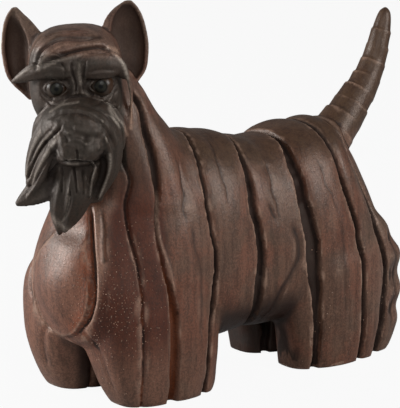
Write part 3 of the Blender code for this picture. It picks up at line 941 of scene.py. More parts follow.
def tail_cuffs():
    path = smooth_through(TAIL_STATIONS, TAIL_SPOTS)[: round(TAIL_SPOTS * TAIL_PATH_SHARE)]
    length = np.linalg.norm(np.diff(path[:, :2], axis=0), axis=1).sum() / (TAIL_CUFFS - 1)
    steps = [(k, k + 1) for k in range(len(path) - 1)]
    host = put("tail_path", mesh_of("tail_path", [(0, y, z) for y, z, _ in path], (), steps))
    mark(host.data, "tail_radius", path[:, 2])
    cup = put("cuff_cup", mesh_of("cuff_cup", *turned(CUFF_PROFILE, CUFF_SIDES)))
    cuffs = Grower(
        "cuffs_on_tail", Cup="Object", Cuffs="Int", Length="Float", Tip="Float", Seed="Int",
        Material="Material",
    )
    curve = cuffs.node("GeometryNodeMeshToCurve", {}, {"Mesh": cuffs.given("Geometry")})
    spots = cuffs.node(
        "GeometryNodeResampleCurve", {}, {"Curve": curve, "Count": cuffs.given("Cuffs")}
    )
    way = cuffs.node("GeometryNodeInputTangent", {}, {})
    turn = cuffs.node("FunctionNodeAlignRotationToVector", {"axis": "Z"}, {"Vector": way})
    spread = cuffs.node(
        "ShaderNodeVectorMath", {"operation": "SCALE"}, {0: (1, 1, 0), 3: cuffs.given("Tip")}
    )
    back = cuffs.node("ShaderNodeVectorMath", {"operation": "SCALE"}, {0: spread, 3: -1.0})
    tip = cuffs.node(
        "FunctionNodeRandomValue", {"data_type": "FLOAT_VECTOR"},
        {0: back, 1: spread, "Seed": cuffs.given("Seed")},
    )
    tipped = cuffs.node(
        "FunctionNodeRotateRotation", {"rotation_space": "LOCAL"}, {"Rotation": turn, 1: tip}
    )
    radius = cuffs.stored("tail_radius")
    size = cuffs.node(
        "ShaderNodeCombineXYZ", {}, {"X": radius, "Y": radius, "Z": cuffs.given("Length")}
    )
    shape = cuffs.node("GeometryNodeObjectInfo", {}, {"Object": cuffs.given("Cup")}, "Geometry")
    placed = cuffs.node(
        "GeometryNodeInstanceOnPoints", {},
        {"Points": spots, "Instance": shape, "Rotation": tipped, "Scale": size},
    )
    mesh = cuffs.grow(
        host, placed, None, Cup=cup, Cuffs=TAIL_CUFFS, Length=length, Tip=CUFF_TIP, Seed=3
    )
    bpy.data.objects.remove(cup)
    return mesh


def mark(mesh, name, values):
    """Stores one number for each point of a mesh."""
    layer = mesh.attributes.new(name, "FLOAT", "POINT")
    layer.data.foreach_set("value", np.asarray(values, np.float32))


TAIL = tail_cuffs()
told(f"tail of {TAIL_CUFFS} cuffs, {len(TAIL.polygons)} faces")

# %% [markdown]
# The parts of the head and the tail are laid on the carved body, and one last skin is drawn round
# them all. It is fine enough for single hairs.

# %% Putting the dog together
DETAIL_VOXEL = 1.1


def whole_dog():
    clay = Clay()
    clay.add(BODY)
    clay.loft(head_rings(MUZZLE_STATIONS, MUZZLE_SQUARENESS, True))
    clay.loft(ball_rings(NOSE, NOSE_RADII, MUZZLE_SQUARENESS))
    clay.loft(ball_rings(BRIDGE, BRIDGE_RADII))
    for stations in (CHIN_STATIONS, THROAT_STATIONS):
        clay.loft(head_rings(stations, THROAT_SQUARENESS, False))
    for side in (1, -1):
        clay.loft(ear_rings(side))
    for eye in EYES_R:
        clay.loft(eyelid_rings(eye))
    for name, (points, width, thickness) in {**LOCKS, **BROWS}.items():
        clay.loft(lock_rings(points, width, thickness, lean_of(name)))
    clay.add(TAIL)
    clay.loft(tail_core_rings())
    return clay.fuse("casting", DETAIL_VOXEL, 1)


CASTING = whole_dog()
told(f"fused casting {len(CASTING.vertices)} points")

# %% [markdown]
# ## Drawing on the face
#
# The carver's finest tool leaves single grooves: frown lines, the folds of the forehead, the lines
# between the leaves of the moustache, and the mouth. Each is drawn on the face as seen from in
# front, and pressed in. Many of them are also the edge of a leaf, so that one side of the line
# stands higher than the other.

# %% Face lines
FACE_LINES = {  # points (r, z), width, depth, how much the left side of the way stands up
    "forehead_high": (
        [(-32, 306), (-29, 317), (-21, 324), (-8, 329), (8, 328), (24, 327)], 1.5, 3.8, -1.4),
    "forehead_low": ([(-22, 313), (-14, 315.5), (-2, 318), (12, 320), (24, 320), (32, 316)],
                     1.4, 3.0, 1.4),
    "forehead_top": ([(-24, 330), (-10, 335), (6, 334)], 1.2, 1.2, 0.0),
    "frown_right": ([(0, 311), (0, 301), (2, 290), (1, 282)], 1.2, 1.8, 0.0),
    "frown_left": ([(12, 311), (9, 300), (8, 290), (9, 282)], 1.2, 1.6, 0.0),
    "brow_end": ([(-9, 311), (-6, 303), (-8, 296)], 1.2, 1.2, 0.0),
    "brow_fold": ([(-38, 305), (-28, 308), (-16, 310), (-5, 307)], 1.3, 0.9, -0.8),
    "brow_left_fold": ([(12, 300), (24, 302), (36, 300)], 1.2, 0.9, 0.0),
    "temple": ([(36.5, 282), (33.5, 274), (34, 267)], 1.6, 1.6, 0.0),
    "under_eye_right": ([(-31, 284), (-25, 277), (-15, 275), (-6, 279)], 1.1, 1.1, 0.0),
    "under_eye_left": ([(10, 278), (18, 274), (27, 275), (33, 280)], 1.1, 1.1, 0.0),
    "muzzle_top": (
        [(-36, 260), (-26, 271), (-12, 278), (5, 280), (20, 276), (33, 266), (41, 246)],
        1.2, 1.8, -3.0),
    "leaf_top": (
        [(-21, 266), (-12, 270.5), (-2, 271.5), (9, 270), (19, 264), (27, 254), (32, 236)],
        1.1, 1.6, 1.2),
    "leaf_second": ([(2, 276), (14, 273.5), (25, 267), (33, 255), (37, 240)], 1.0, 1.2, 0.8),
    "leaf_upper": ([(-9, 263), (-18, 254), (-28, 243), (-36, 231), (-43, 217), (-46, 210)],
                   1.2, 2.4, -1.0),
    "leaf_middle": ([(-16, 262), (-27, 251), (-36, 238), (-43, 223)], 0.9, 1.2, 0.0),
    "leaf_lower": ([(-14, 249), (-22, 237), (-30, 225), (-38, 213), (-46, 200)], 1.3, 1.4, -2.4),
    "hollow_right": ([(-15, 245), (-19, 235), (-22, 224), (-24, 212), (-26, 199)], 3.0, 2.4, 0.0),
    "hollow_left": ([(21, 230), (21, 221), (18, 210), (12, 199)], 2.4, 2.0, 0.0),
    "mouth": ([(-15, 228.5), (-5, 231), (3, 230), (11, 228), (19, 226)], 1.4, 4.5, 2.0),
    "lip": ([(1, 242), (1.5, 232)], 1.1, 1.8, 0.0),
    "chin_a": ([(-14, 224), (-15, 212), (-16, 199)], 1.2, 1.3, 0.0),
    "chin_b": ([(-4, 224), (-3, 210), (-3, 198)], 1.3, 1.8, 0.0),
    "chin_c": ([(4, 222), (4, 208), (2, 196)], 1.1, 1.2, 0.0),
    "beard_parting": ([(-8, 206), (-9, 195), (-12, 185), (-17, 174)], 1.1, 1.3, 0.0),
}
FACE_DENTS = [  # r, z, radius, depth
    (-7, 250, 2.8, 2.4),
    (10, 250, 2.8, 2.4),
]
FACE_BEGINS = 22.0
STEP_REACH = 7.0
NOSE_LUMPS, NOSE_LUMP_SIZE = 0.5, 3.6


def beside(r, z, keys):
    """Distance from a drawn line, positive on its left, and the place along it, 0 to 1."""
    line = smooth_through(keys, 140)
    way = unit(np.gradient(line, axis=0))
    off_r, off_z = r[:, None] - line[:, 0], z[:, None] - line[:, 1]
    away = np.hypot(off_r, off_z)
    nearest = away.argmin(1)
    rows = np.arange(len(r))
    left = way[nearest, 0] * off_z[rows, nearest] - way[nearest, 1] * off_r[rows, nearest]
    return away[rows, nearest] * np.sign(left), nearest / (len(line) - 1)


def near_line(r, z, allowed, keys, reach):
    """Which of the allowed points may lie within reach of a drawn line."""
    low, high = np.min(keys, 0) - reach, np.max(keys, 0) + reach
    return allowed & (r > low[0]) & (r < high[0]) & (z > low[1]) & (z < high[1])


def line_relief(r, z, allowed, lines):
    """Grooves and steps along lines drawn in the plane of r and z."""
    relief = np.zeros(len(r))
    for keys, width, depth, step in lines.values():
        near = near_line(r, z, allowed, keys, 4 * width + 2.5 * STEP_REACH * (step != 0))
        away, along = beside(r[near], z[near], keys)
        ends = smoothstep(0, 0.14, along) * fade(0.86, 1, along)
        relief[near] -= depth * np.exp(-((away / width) ** 2)) * (0.2 + 0.8 * ends)
        stands = np.tanh(away / (0.8 * width)) * np.exp(-abs(away) / STEP_REACH)
        relief[near] += 0.5 * step * stands * ends
    return relief


def face_relief(points):
    r, f, z = in_head(points)
    front = f > FACE_BEGINS
    relief = line_relief(r, z, front, FACE_LINES)
    for at_r, at_z, radius, depth in FACE_DENTS:
        away = np.hypot(r - at_r, z - at_z) / radius
        relief -= depth * np.exp(-away * away) * front
    on_nose = smoothstep(60, 74, f) * smoothstep(226, 231, z)
    relief += NOSE_LUMPS * on_nose * wander(points, NOSE_LUMP_SIZE, 11)
    return relief


# %% [markdown]
# The breast plate is drawn in the same way, on the front of the body. Its outline is a closed
# curve shaped like a drop. Inside it the breast stands up, and on the dog's left a deep crease
# parts it from the narrow strip that comes down from the beard.

# %% Breast lines
PLATE = [  # x, z round the plate, clockwise from the top
    (10, 172), (27, 168), (34, 157), (39, 144), (44, 128), (47, 111), (46, 98), (40, 84),
    (26, 68), (9, 60), (-10, 60), (-24, 68), (-33, 82), (-37, 99), (-36, 117), (-26, 133),
    (-14, 147), (-4, 163), (10, 172),
]
PLATE_SWELL, PLATE_EDGE = 2.6, 3.5
BREAST_BUMPS = [  # x, z, half width, half height, how far out
    (6, 110, 27, 22, 3.2),
    (20, 158, 16, 13, -2.4),
]
BREAST_BACK_Y = -88.0
BREAST_LINES = {  # points (x, z), width, depth, how much the left side of the way stands up
    "crease": (
        [(27, 180), (31.5, 169), (36.5, 157), (41, 144.5), (46, 128), (49.5, 111), (48.5, 98),
         (42, 83), (28, 69)], 1.4, 4.0, 0.0),
    "plate_far_side": (
        [(12, 58), (-8, 57), (-25, 64), (-36, 80), (-40, 98), (-39, 118), (-29, 136)], 1.3, 1.6, 0.0),
    "strip_right": ([(35, 177), (42, 161), (47, 145), (51, 132)], 1.1, 1.6, 0.0),
    "strip_ridge": (
        [(30, 178), (36, 165), (41, 153), (45, 140), (50, 124), (53.5, 111), (53, 98), (47, 84)],
        1.7, -1.6, 0.0),
    "leg_fold": ([(30, 72), (36, 62), (42, 48), (46, 30), (48, 12)], 3.0, 1.2, 0.0),
    "far_leg_fold": ([(-20, 68), (-30, 56), (-36, 40), (-38, 20)], 3.0, 1.2, 0.0),
    "far_side_fold": ([(-44, 150), (-50, 128), (-50, 104), (-44, 84)], 2.2, 1.8, 0.0),
}


def inside_outline(x, z, outline):
    """Whether each point lies inside a closed outline."""
    count = np.zeros(len(x), int)
    for (x0, z0), (x1, z1) in zip(outline[:-1], outline[1:]):
        spans = (z0 > z) != (z1 > z)
        reach = x0 + (z - z0) * (x1 - x0) / (z1 - z0 if z1 != z0 else 1e-9)
        count += spans & (x < reach)
    return count % 2 == 1


def on_beard(points):
    r, f, z = in_head(points)
    return (f > 30) & (r < 2 + 0.9 * (z - 175)) & (z > 150)


def breast_relief(points):
    x, y, z = points.T
    front = (y < BREAST_BACK_Y) & (z < 180) & ~on_beard(points)
    outline = smooth_through(PLATE, 160)
    relief = line_relief(x, z, front, BREAST_LINES)
    near = np.flatnonzero(front & (abs(x) < 60) & (z > 50))
    away, _ = beside(x[near], z[near], outline)
    rise = smoothstep(0, PLATE_EDGE, abs(away)) * inside_outline(x[near], z[near], outline)
    relief[near] += PLATE_SWELL * rise * fade(140, 165, z[near])
    for at_x, at_z, wide, tall, out in BREAST_BUMPS:
        relief += front * out * np.exp(-(((x - at_x) / wide) ** 2) - ((z - at_z) / tall) ** 2)
    return relief


# %% [markdown]
# The grooves are pressed in, and then the skin is reduced to what the library takes. More of them
# are kept on the head, where the detail is.

# %% Reducing and finishing the mesh
TRIANGLES = 190000
HEAD_KEEPS = 0.8


def reduced(mesh, triangles):
    """The mesh in fewer triangles, with more of them left on the head."""
    dense = put(mesh.name, mesh)
    points, _ = coordinates(mesh)
    r, f, z = in_head(points)
    face = smoothstep(0, 30, f) * smoothstep(150, 190, z)
    group = dense.vertex_groups.new(name="may_go")
    for level in range(11):
        band = np.flatnonzero(np.round(face * 10) == level)
        group.add(band.tolist(), 1 - HEAD_KEEPS * level / 10, "REPLACE")
    decimate = dense.modifiers.new("reduce", "DECIMATE")
    decimate.ratio = triangles / (len(mesh.loops) - 2 * len(mesh.polygons))
    decimate.use_collapse_triangulate = True
    decimate.vertex_group = group.name
    return baked(dense)


def cut_flat_soles(mesh):
    """Cuts away what reaches under the ground and closes the feet with flat soles."""
    form = bmesh.new()
    form.from_mesh(mesh)
    bmesh.ops.bisect_plane(
        form, geom=form.verts[:] + form.edges[:] + form.faces[:], dist=1e-5,
        plane_co=(0, 0, 0), plane_no=(0, 0, -1), clear_outer=True,
    )
    rim = [edge for edge in form.edges if edge.is_boundary]
    bmesh.ops.holes_fill(form, edges=rim, sides=0)
    bmesh.ops.triangulate(form, faces=[face for face in form.faces if len(face.verts) > 3])
    form.to_mesh(mesh)
    form.free()


CASTING_POINTS, CASTING_NORMALS = coordinates(CASTING)
DRAWN_RELIEF = face_relief(CASTING_POINTS) + breast_relief(CASTING_POINTS)
moved(CASTING, CASTING_NORMALS * DRAWN_RELIEF[:, None])
CASTING = reduced(CASTING, TRIANGLES)
cut_flat_soles(CASTING)
told(f"finished casting {len(CASTING.polygons)} triangles")

# %% [markdown]
# ## What the finish needs to know
#
# Hollows are painted darker, as stain and painted shade, and ridges paler, as wear and painted
# highlight, so the finish is steered by the shape.
# Hollows are found by letting the mesh relax towards the average of its neighbours and seeing
# which points move outwards. A few steps find the hairline cracks, and many steps the wide gaps.
# The lists below draw painted highlights and painted shade as lines.

# %% Marks on the surface
CREASE_STEPS, CREASE_REST_STEPS, HOLLOW_STEPS, UP_STEPS = 4, 14, 30, 20  # rounds of relaxing
PAINTED_HIGHLIGHT_FACE = [  # lines (r, z) painted pale as highlights along ridges and rims, their width and how pale
    ([(31, 319), (38, 313), (43.5, 303), (45.6, 291), (46.6, 277), (46.6, 262), (45, 245)],
     1.3, 1.8),
    ([(29, 270), (35, 258), (40, 250), (42, 240)], 0.9, 1.4),
    ([(28, 233), (27.5, 222), (23, 209), (16, 194)], 1.0, 1.2),
    ([(15, 222), (11, 210), (8, 197)], 0.7, 0.9),
    ([(-9, 197), (-11, 189), (-14.5, 179), (-19, 172)], 0.8, 0.8),
    ([(-15, 252), (-25, 238), (-34, 223), (-42, 208)], 1.1, 0.7),
    ([(-21, 271), (-10, 276.5), (4, 278)], 0.7, 0.7),
    ([(-30, 255), (-38, 241), (-44, 226), (-47, 212)], 0.8, 0.7),
    ([(6, 308), (5.5, 300), (6, 291)], 1.3, 1.0),
    ([(-50, 297), (-40, 304), (-27, 309), (-14, 310)], 0.8, 0.7),
    ([(-29, 305), (-25, 314), (-17, 320), (-5, 324), (8, 324), (24, 323)], 1.3, 0.7),
    ([(-24, 307), (-12, 312), (2, 314), (14, 316)], 1.0, 0.7),
    ([(-7, 228.5), (1, 228)], 1.2, 0.9),
    ([(-63, 300), (-64, 320), (-60, 338)], 0.9, 1.0),
]
SHADED_FACE = [  # lines (r, z) painted dark as shade in hollows, creases and round the eyes, their width and how dark
    ([(-17, 242), (-20, 232), (-23, 220), (-25, 208), (-26, 198)], 5.0, 0.85),
    ([(22, 233), (22, 222), (19, 210), (14, 200)], 4.0, 0.8),
    ([(-12, 229), (0, 231), (14, 228)], 2.2, 0.8),
    ([(-12, 222), (0, 220), (12, 220)], 8.0, 0.45),
    ([(-26, 288), (-15, 287.5), (-5, 288)], 8.0, 0.5),
    ([(12, 288), (23, 287.5), (33, 288)], 8.0, 0.5),
    ([(8, 303), (22, 302), (38, 298)], 8.0, 0.25),
    ([(0, 312), (0, 302), (2, 284)], 1.6, 0.4),
    (FACE_LINES["forehead_high"][0], 1.5, 0.75),
    ([(-26, 311), (-14, 315.5), (-2, 318), (12, 320), (24, 320), (32, 316)], 1.4, 0.7),
    ([(-22, 331), (-10, 335), (6, 334)], 1.2, 0.4),
]
PAINTED_HIGHLIGHT_BREAST = [  # lines (x, z) painted pale as highlights, their width and how pale
    ([(30, 177), (35, 166), (40, 154), (44.5, 141), (49, 127)], 3.2, 0.75),
    ([(-8, 58), (-25, 65), (-35, 80), (-39, 98), (-38, 118), (-28, 135)], 1.0, 1.0),
    ([(30, 178), (36, 165), (41, 153), (45, 140), (50, 124), (53, 111), (53, 98), (47, 84)],
     1.7, 1.0),
]


def relaxed(values, edges, steps):
    """Values averaged along the edges, a few times over."""
    count = len(values)
    ends = np.concatenate([edges[:, 0], edges[:, 1]])
    others = np.concatenate([edges[:, 1], edges[:, 0]])
    share = np.maximum(np.bincount(ends, minlength=count), 1)
    for _ in range(steps):
        total = np.stack(
            [np.bincount(ends, values[others, k], count) for k in range(values.shape[1])], 1
        )
        values = 0.4 * values + 0.6 * total / share[:, None]
    return values


def hollowness(points, normals, edges, steps):
    """In millimetres, how far each point lies under the relaxed surface."""
    sunk = ((relaxed(points, edges, steps) - points) * normals).sum(1)
    return relaxed(sunk[:, None], edges, 1)[:, 0]


def edge_pairs(mesh):
    pairs = np.empty(len(mesh.edges) * 2, np.int32)
    mesh.edges.foreach_get("vertices", pairs)
    return pairs.reshape(-1, 2)


def marked(mesh):
    """Stores on the mesh all that the finish asks for, and returns the names."""
    points, normals = coordinates(mesh)
    edges = edge_pairs(mesh)
    r, f, z = in_head(points)
    crease = hollowness(points, normals, edges, CREASE_STEPS)
    crease = crease - relaxed(crease[:, None], edges, CREASE_REST_STEPS)[:, 0]
    hollow = hollowness(points, normals, edges, HOLLOW_STEPS)
    on_body = straps_fade(points)
    _, in_gap, rim_wear_and_highlight = strap_relief(points)
    marks = {
        "crease": crease,
        "hollow": hollow,
        "up": relaxed(normals, edges, UP_STEPS)[:, 2],
        "gap": in_gap * on_body,
        "rim": rim_wear_and_highlight * on_body * (normals[:, 2] > -0.5),
        "crack": fine_relief(points)[1] * on_body,
        "inner": underside_shade_mask(points, normals, f),
        "face": face_mask(r, f, z),
        # the ears' cups are painted dark as shade
        "ear": smoothstep(0.6, 2.5, hollow) * (f < 2) * smoothstep(270, 282, z),
        "foreleg": foreleg_mask(*points.T),
        "wiped": highlight_line_mask(points, r, f, z),
        "shaded": line_mask(r, z, f > 14, SHADED_FACE, 3),
        "glow": glow_mask(*points.T),
    }
    for name, values in marks.items():
        mark(mesh, name, values)
    told(f"crease {np.percentile(crease, (2, 25, 75, 98)).round(2)}, "
         f"hollow {np.percentile(hollow, (2, 25, 75, 98)).round(2)}")
    return list(marks)


def underside_shade_mask(points, normals, f):
    """Painted shade: 1 on the inner sides of the legs, on the far side of the way through, and on the
    belly.
    """
    x, y, z = points.T
    turned_in = smoothstep(0.2, 0.7, -normals[:, 0] * np.sign(x))
    turned_in *= smoothstep(-0.55, -0.1, normals[:, 1]) * fade(60, 90, z)
    sheltered = smoothstep(60, 70, y) * fade(20, 34, x)
    sheltered *= fade(84, 100, z) * (normals[:, 0] > -0.4)
    underneath = smoothstep(0.1, 0.5, -normals[:, 2]) * (f < 10) * smoothstep(25, 45, z)
    underneath *= fade(100, 120, z) * smoothstep(-20, 0, y)
    return np.maximum(turned_in, np.maximum(sheltered, underneath))


def line_mask(across, up, allowed, lines, widths):
    """The strongest of the lines near each point, looked for this many widths away."""
    strongest = np.zeros(len(up))
    for keys, width, strength in lines:
        near = near_line(across, up, allowed, keys, widths * width)
        away, _ = beside(across[near], up[near], keys)
        strongest[near] = np.maximum(strongest[near], strength * np.exp(-((away / width) ** 2)))
    return strongest


def highlight_line_mask(points, r, f, z):
    """1 along the ridges and rims that are painted pale as highlights."""
    on_face = line_mask(r, z, (f > 8) | (r < -58), PAINTED_HIGHLIGHT_FACE, 4)
    on_breast = line_mask(points[:, 0], z, points[:, 1] < BREAST_BACK_Y, PAINTED_HIGHLIGHT_BREAST, 4)
    on_fold = 0.8 * groove(points, FOLD_RIDGE, 1.4)
    return np.maximum(np.maximum(on_face, on_breast), on_fold)


def glow_mask(x, y, z):
    """1 on the plate beside its crease, where an orange glaze was left."""
    glow = np.zeros(len(x))
    near = np.flatnonzero((y < BREAST_BACK_Y) & (x > 10) & (x < 60) & (z > 60) & (z < 185))
    away, along = beside(x[near], z[near], BREAST_LINES["crease"][0])
    glow[near] = np.exp(-(((away + 4) / 7) ** 2)) * smoothstep(0, 0.1, along)
    return glow


def foreleg_mask(x, y, z):
    """1 on the red side of the near foreleg, from the breast plate's crease to the withers gap."""
    crease = np.interp(z, [0, 60, 106, 132, 172], [10, 26, 48, 46, 34])
    beside_plate = smoothstep(crease + 4, crease + 10, x)
    beside_plate *= 0.3 + 0.7 * smoothstep(25, 75, z)
    return beside_plate * fade(-68, -62, y) * fade(170, 225, z)


def face_mask(r, f, z):
    """1 on the dark mask of brows, eyes, muzzle and beard; 0 on the skull, ears and neck."""
    begins = 14 + 24 * smoothstep(215, 190, z)
    ahead = smoothstep(begins, begins + 6, f)
    under_forehead = fade(311, 319, z + 0.12 * r)
    side = 39 + 7 * smoothstep(255, 270, z)
    return ahead * under_forehead * smoothstep(150, 156, z) * fade(side, side + 2, r)


SKIN_MARKS = marked(CASTING)
told(f"surface marked with {', '.join(SKIN_MARKS)}")

# %% [markdown]
# ## Painting with nodes
#
# A finish is a sum of small decisions: if the surface is hollow it is darker, if it is a ridge it
# is paler. `Wire` lets those be written as sums. It wraps a shader socket, and adding or
# multiplying wires adds the Math node that does it.

# %% Shader wires
class Wire:
    """A number socket that can be used in ordinary arithmetic."""

    def __init__(self, paint, socket):
        self.paint, self.socket = paint, socket

    def __add__(self, other):
        return self.paint.maths("ADD", self, other)

    def __sub__(self, other):
        return self.paint.maths("SUBTRACT", self, other)

    def __rsub__(self, other):
        return self.paint.maths("SUBTRACT", other, self)

    def __mul__(self, other):
        return self.paint.maths("MULTIPLY", self, other)

    def step(self, low, high):
        """0 below low, 1 above high, and a smooth climb between."""
        return self.paint.node(
            "ShaderNodeMapRange", {"interpolation_type": "SMOOTHSTEP"},
            {"Value": self, "From Min": low, "From Max": high},
        )

    def fade(self, low, high):
        """1 below low, 0 above high, and a smooth fall between."""
        return 1 - self.step(low, high)

    __radd__ = __add__
    __rmul__ = __mul__


class Paint:
    """One material and its nodes."""

    def __init__(self, name):
        self.material = bpy.data.materials.new(name)
        self.material.use_nodes = True
        self.tree = self.material.node_tree
        self.shader = self.tree.nodes["Principled BSDF"]

    def node(self, kind, settings, inputs, output=0):
        return Wire(self, new_node(self.tree, kind, settings, inputs).outputs[output])

    def maths(self, operation, a, b):
        return self.node("ShaderNodeMath", {"operation": operation}, {0: a, 1: b})

    def attribute(self, name):
        return self.node("ShaderNodeAttribute", {"attribute_name": name}, {}, "Fac")

    def mix(self, amount, a, b):
        """Colour a turning into colour b."""
        return self.node(
            "ShaderNodeMix", {"data_type": "RGBA"}, {0: amount, 6: rgba(a), 7: rgba(b)}, 2
        )

    def coat(self, amount, colour):
        """Lays a colour over what is painted so far."""
        self.colour = self.mix(amount, self.colour, colour)

    def place(self):
        return self.node("ShaderNodeTexCoord", {}, {}, "Object")

    def noise(self, scale, detail, roughness=0.55, place=None):
        return self.node(
            "ShaderNodeTexNoise", {},
            {"Vector": place or self.place(), "Scale": scale, "Detail": detail,
             "Roughness": roughness},
        )

    def finish(self, **sockets):
        for name, value in sockets.items():
            feed(self.tree, self.shader.inputs[name.replace("_", " ")], value)
        return self.material


def rgba(colour):
    return colour if isinstance(colour, Wire) else (*colour, 1.0)


def tint(text):
    """A linear colour from six hexadecimal digits."""
    parts = [int(text[k : k + 2], 16) / 255 for k in (0, 2, 4)]
    return tuple(p / 12.92 if p < 0.04045 else ((p + 0.055) / 1.055) ** 2.4 for p in parts)


# %% [markdown]
# ## The resin finish
#
# The body is a warm brown: redder on the breast, dark red on the near foreleg, greyer on the rump,
# partly as painted light on the rear, and darker along the back, partly as painted shade on the
# faces that turn up. Gaps and cracks are nearly black, with rust low in the gap behind the shoulder,
# and the front feet are painted paler, as light from the floor. The face is darker and greener than
# the body. Ridges are paler with wear and painted highlight, and hollows darker with stain and
# painted shade; the ears' cups, lines of the face, the insides of the legs and the belly carry
# painted shade.

# %% Brown resin
FLANK_BROWN, RED_BROWN, BACK_BROWN = tint("6e4838"), tint("673322"), tint("483526")
ASH, UMBER, PLATE_BROWN = tint("785f50"), tint("3b2a1f"), tint("8e6d5a")
GREEN_BROWN = tint("51463a")
DARK, RUST, PALE_WEAR_AND_HIGHLIGHT, DARK_RED = tint("140906"), tint("5e2c10"), tint("a58673"), tint("471703")
FACE_DARK, FACE_GREEN, FACE_WEAR_AND_HIGHLIGHT = tint("33271f"), tint("2b2620"), tint("a2968a")
EAR_DARK, SKULL_BROWN, GLAZE = tint("3a281e"), tint("6f564a"), tint("7c3813")
NECK_RED, FACE_SPECK, BODY_SPECK = tint("451602"), tint("14110d"), tint("2a1510")
LEG_TOP, LEG_BOTTOM = 0.07, 0.0
SPECULAR, SPECULAR_TINT = 0.45, (1.0, 0.87, 0.78, 1.0)
ALONG_STREAKS, ALONG_PATCHES = (1.0, 1.0, 0.07), (1.0, 1.0, 0.25)


def brown_resin():
    paint = Paint("brown_resin")
    place = paint.place()
    apart = new_node(paint.tree, "ShaderNodeSeparateXYZ", {}, {0: place}).outputs
    along, height = Wire(paint, apart["Y"]), Wire(paint, apart["Z"])
    streaked, patched = (
        paint.node("ShaderNodeVectorMath", {"operation": "MULTIPLY"}, {0: place, 1: stretch})
        for stretch in (ALONG_STREAKS, ALONG_PATCHES)
    )
    crease, hollow, up, gap, rim, crack, inner, face, ear, foreleg, wiped, shaded, glow = (
        paint.attribute(name) for name in SKIN_MARKS
    )
    cloud, mottle = paint.noise(22, 3), paint.noise(130, 5, 0.75)
    grain, streak = paint.noise(520, 3, 0.7), paint.noise(150, 4, 0.65, streaked)
    front = (along + 0.02 * cloud).fade(-0.125, -0.07) * height.fade(0.19, 0.26)
    # the brown of each region
    paint.colour = FLANK_BROWN
    paint.coat(front * 0.4, RED_BROWN)
    paint.coat(front * 0.25, PLATE_BROWN)
    # the rump is greyer, partly as painted light where the rear catches it
    paint.coat(along.step(0.115, 0.15) * 0.6, ASH)
    paint.coat(glow * 0.85, GLAZE)
    paint.coat(height.step(0.26, 0.3), SKULL_BROWN)
    # clouds and patches of other browns
    paint.coat(cloud.step(0.5, 0.75) * 0.35, RED_BROWN)
    patch = paint.noise(70, 5, 0.7, patched)
    paint.coat(patch.step(0.5, 0.68) * 0.4 * (1 - front), ASH)
    paint.coat((1 - patch).step(0.5, 0.68) * 0.5, UMBER)
    paint.coat((1 - cloud).step(0.45, 0.6) * 0.45 * (1 - front), GREEN_BROWN)
    # the neck, the back and the tail are darker
    neck = along.fade(-0.115, -0.1) * height.step(0.17, 0.2) * height.fade(0.27, 0.3)
    paint.coat(neck * 0.6, UMBER)
    # faces that turn up on the back are darker, partly as painted shade
    paint.coat(up.step(0.2, 0.7) * height.fade(0.24, 0.27) * 0.85, BACK_BROWN)
    tail = along.step(0.132, 0.15) * height.step(0.2, 0.22)
    paint.coat(tail * 0.85, BACK_BROWN)
    # the near foreleg and the side of the neck
    glazed = height.step(0.12, 0.17) * along.fade(-0.135, -0.128)
    red = paint.mix(glazed, DARK_RED, NECK_RED)
    paint.coat(foreleg * (0.7 + 0.4 * mottle + 0.2 * glazed), red)
    # pale flecks and dark streaks, and the feet in front painted paler as light from the floor
    flecks = (0.6 * grain + 0.4 * paint.noise(260, 3, 0.8)).step(0.58, 0.68) * (1 - face)
    paint.coat(flecks * (0.35 - 0.25 * foreleg), PALE_WEAR_AND_HIGHLIGHT)
    paint.coat((0.5 * streak + 0.5 * mottle).step(0.42, 0.68) * 0.4, DARK)
    low = height.fade(LEG_BOTTOM, LEG_TOP) * along.fade(-0.03, 0.0)
    paint.coat(low * 0.4, ASH)
    # the face
    masked = paint.mix((0.6 * cloud + 0.4 * mottle).step(0.42, 0.58), FACE_DARK, FACE_GREEN)
    paint.coat(face * 0.95, masked)
    # ridges paler with wear and painted highlight, hollows darker with stain and painted shade
    wear_and_highlight = (0 - crease).step(0.1, 0.35) * (0.6 - 0.4 * height.step(0.29, 0.32))
    wear_and_highlight = wear_and_highlight + 0.42 * rim * mottle.step(0.2, 0.6)
    paint.coat(wear_and_highlight * mottle.step(0.2, 0.6), paint.mix(face, PALE_WEAR_AND_HIGHLIGHT, FACE_WEAR_AND_HIGHLIGHT))
    stain_and_shade = (0.35 * hollow + 3 * crease).step(0.25, 1.2)
    paint.coat(stain_and_shade * 0.9, DARK)
    # cracks and gaps; painted shade in the ears' cups, along lines of the face, between the legs and
    # under the belly
    paint.coat(crack * 0.75, DARK)
    rusty = cloud.step(0.35, 0.5) * height.fade(0.1, 0.17) * along.fade(-0.07, -0.05)
    paint.coat(gap * 0.92, paint.mix(rusty, DARK, RUST))
    paint.coat(ear * 0.75, EAR_DARK)
    paint.coat(shaded, DARK)
    paint.coat(inner * 0.9, DARK)
    # lines painted pale as highlights, and specks of stain over everything
    paint.coat(wiped * 0.5, paint.mix(face, PALE_WEAR_AND_HIGHLIGHT, FACE_WEAR_AND_HIGHLIGHT))
    specked = (grain + 0.4 * streak).step(0.58, 0.88)
    paint.coat(specked * 0.55, paint.mix(face, BODY_SPECK, FACE_SPECK))
    # glossier along the painted highlights, and matt in the gaps
    roughness = 0.3 + 0.22 * grain + 0.25 * stain_and_shade - 0.1 * wiped + 0.12 * face + 0.3 * gap
    roughness = roughness + 0.25 * foreleg
    bump = paint.node(
        "ShaderNodeBump", {},
        {"Height": 0.35 * mottle + 0.3 * grain + 0.4 * streak, "Strength": 0.8, "Distance": 0.0008},
    )
    paint.finish(Specular_IOR_Level=SPECULAR, Specular_Tint=SPECULAR_TINT)
    return paint.finish(Base_Color=paint.colour, Roughness=roughness, Normal=bump)


RESIN = brown_resin()
told("resin mixed")

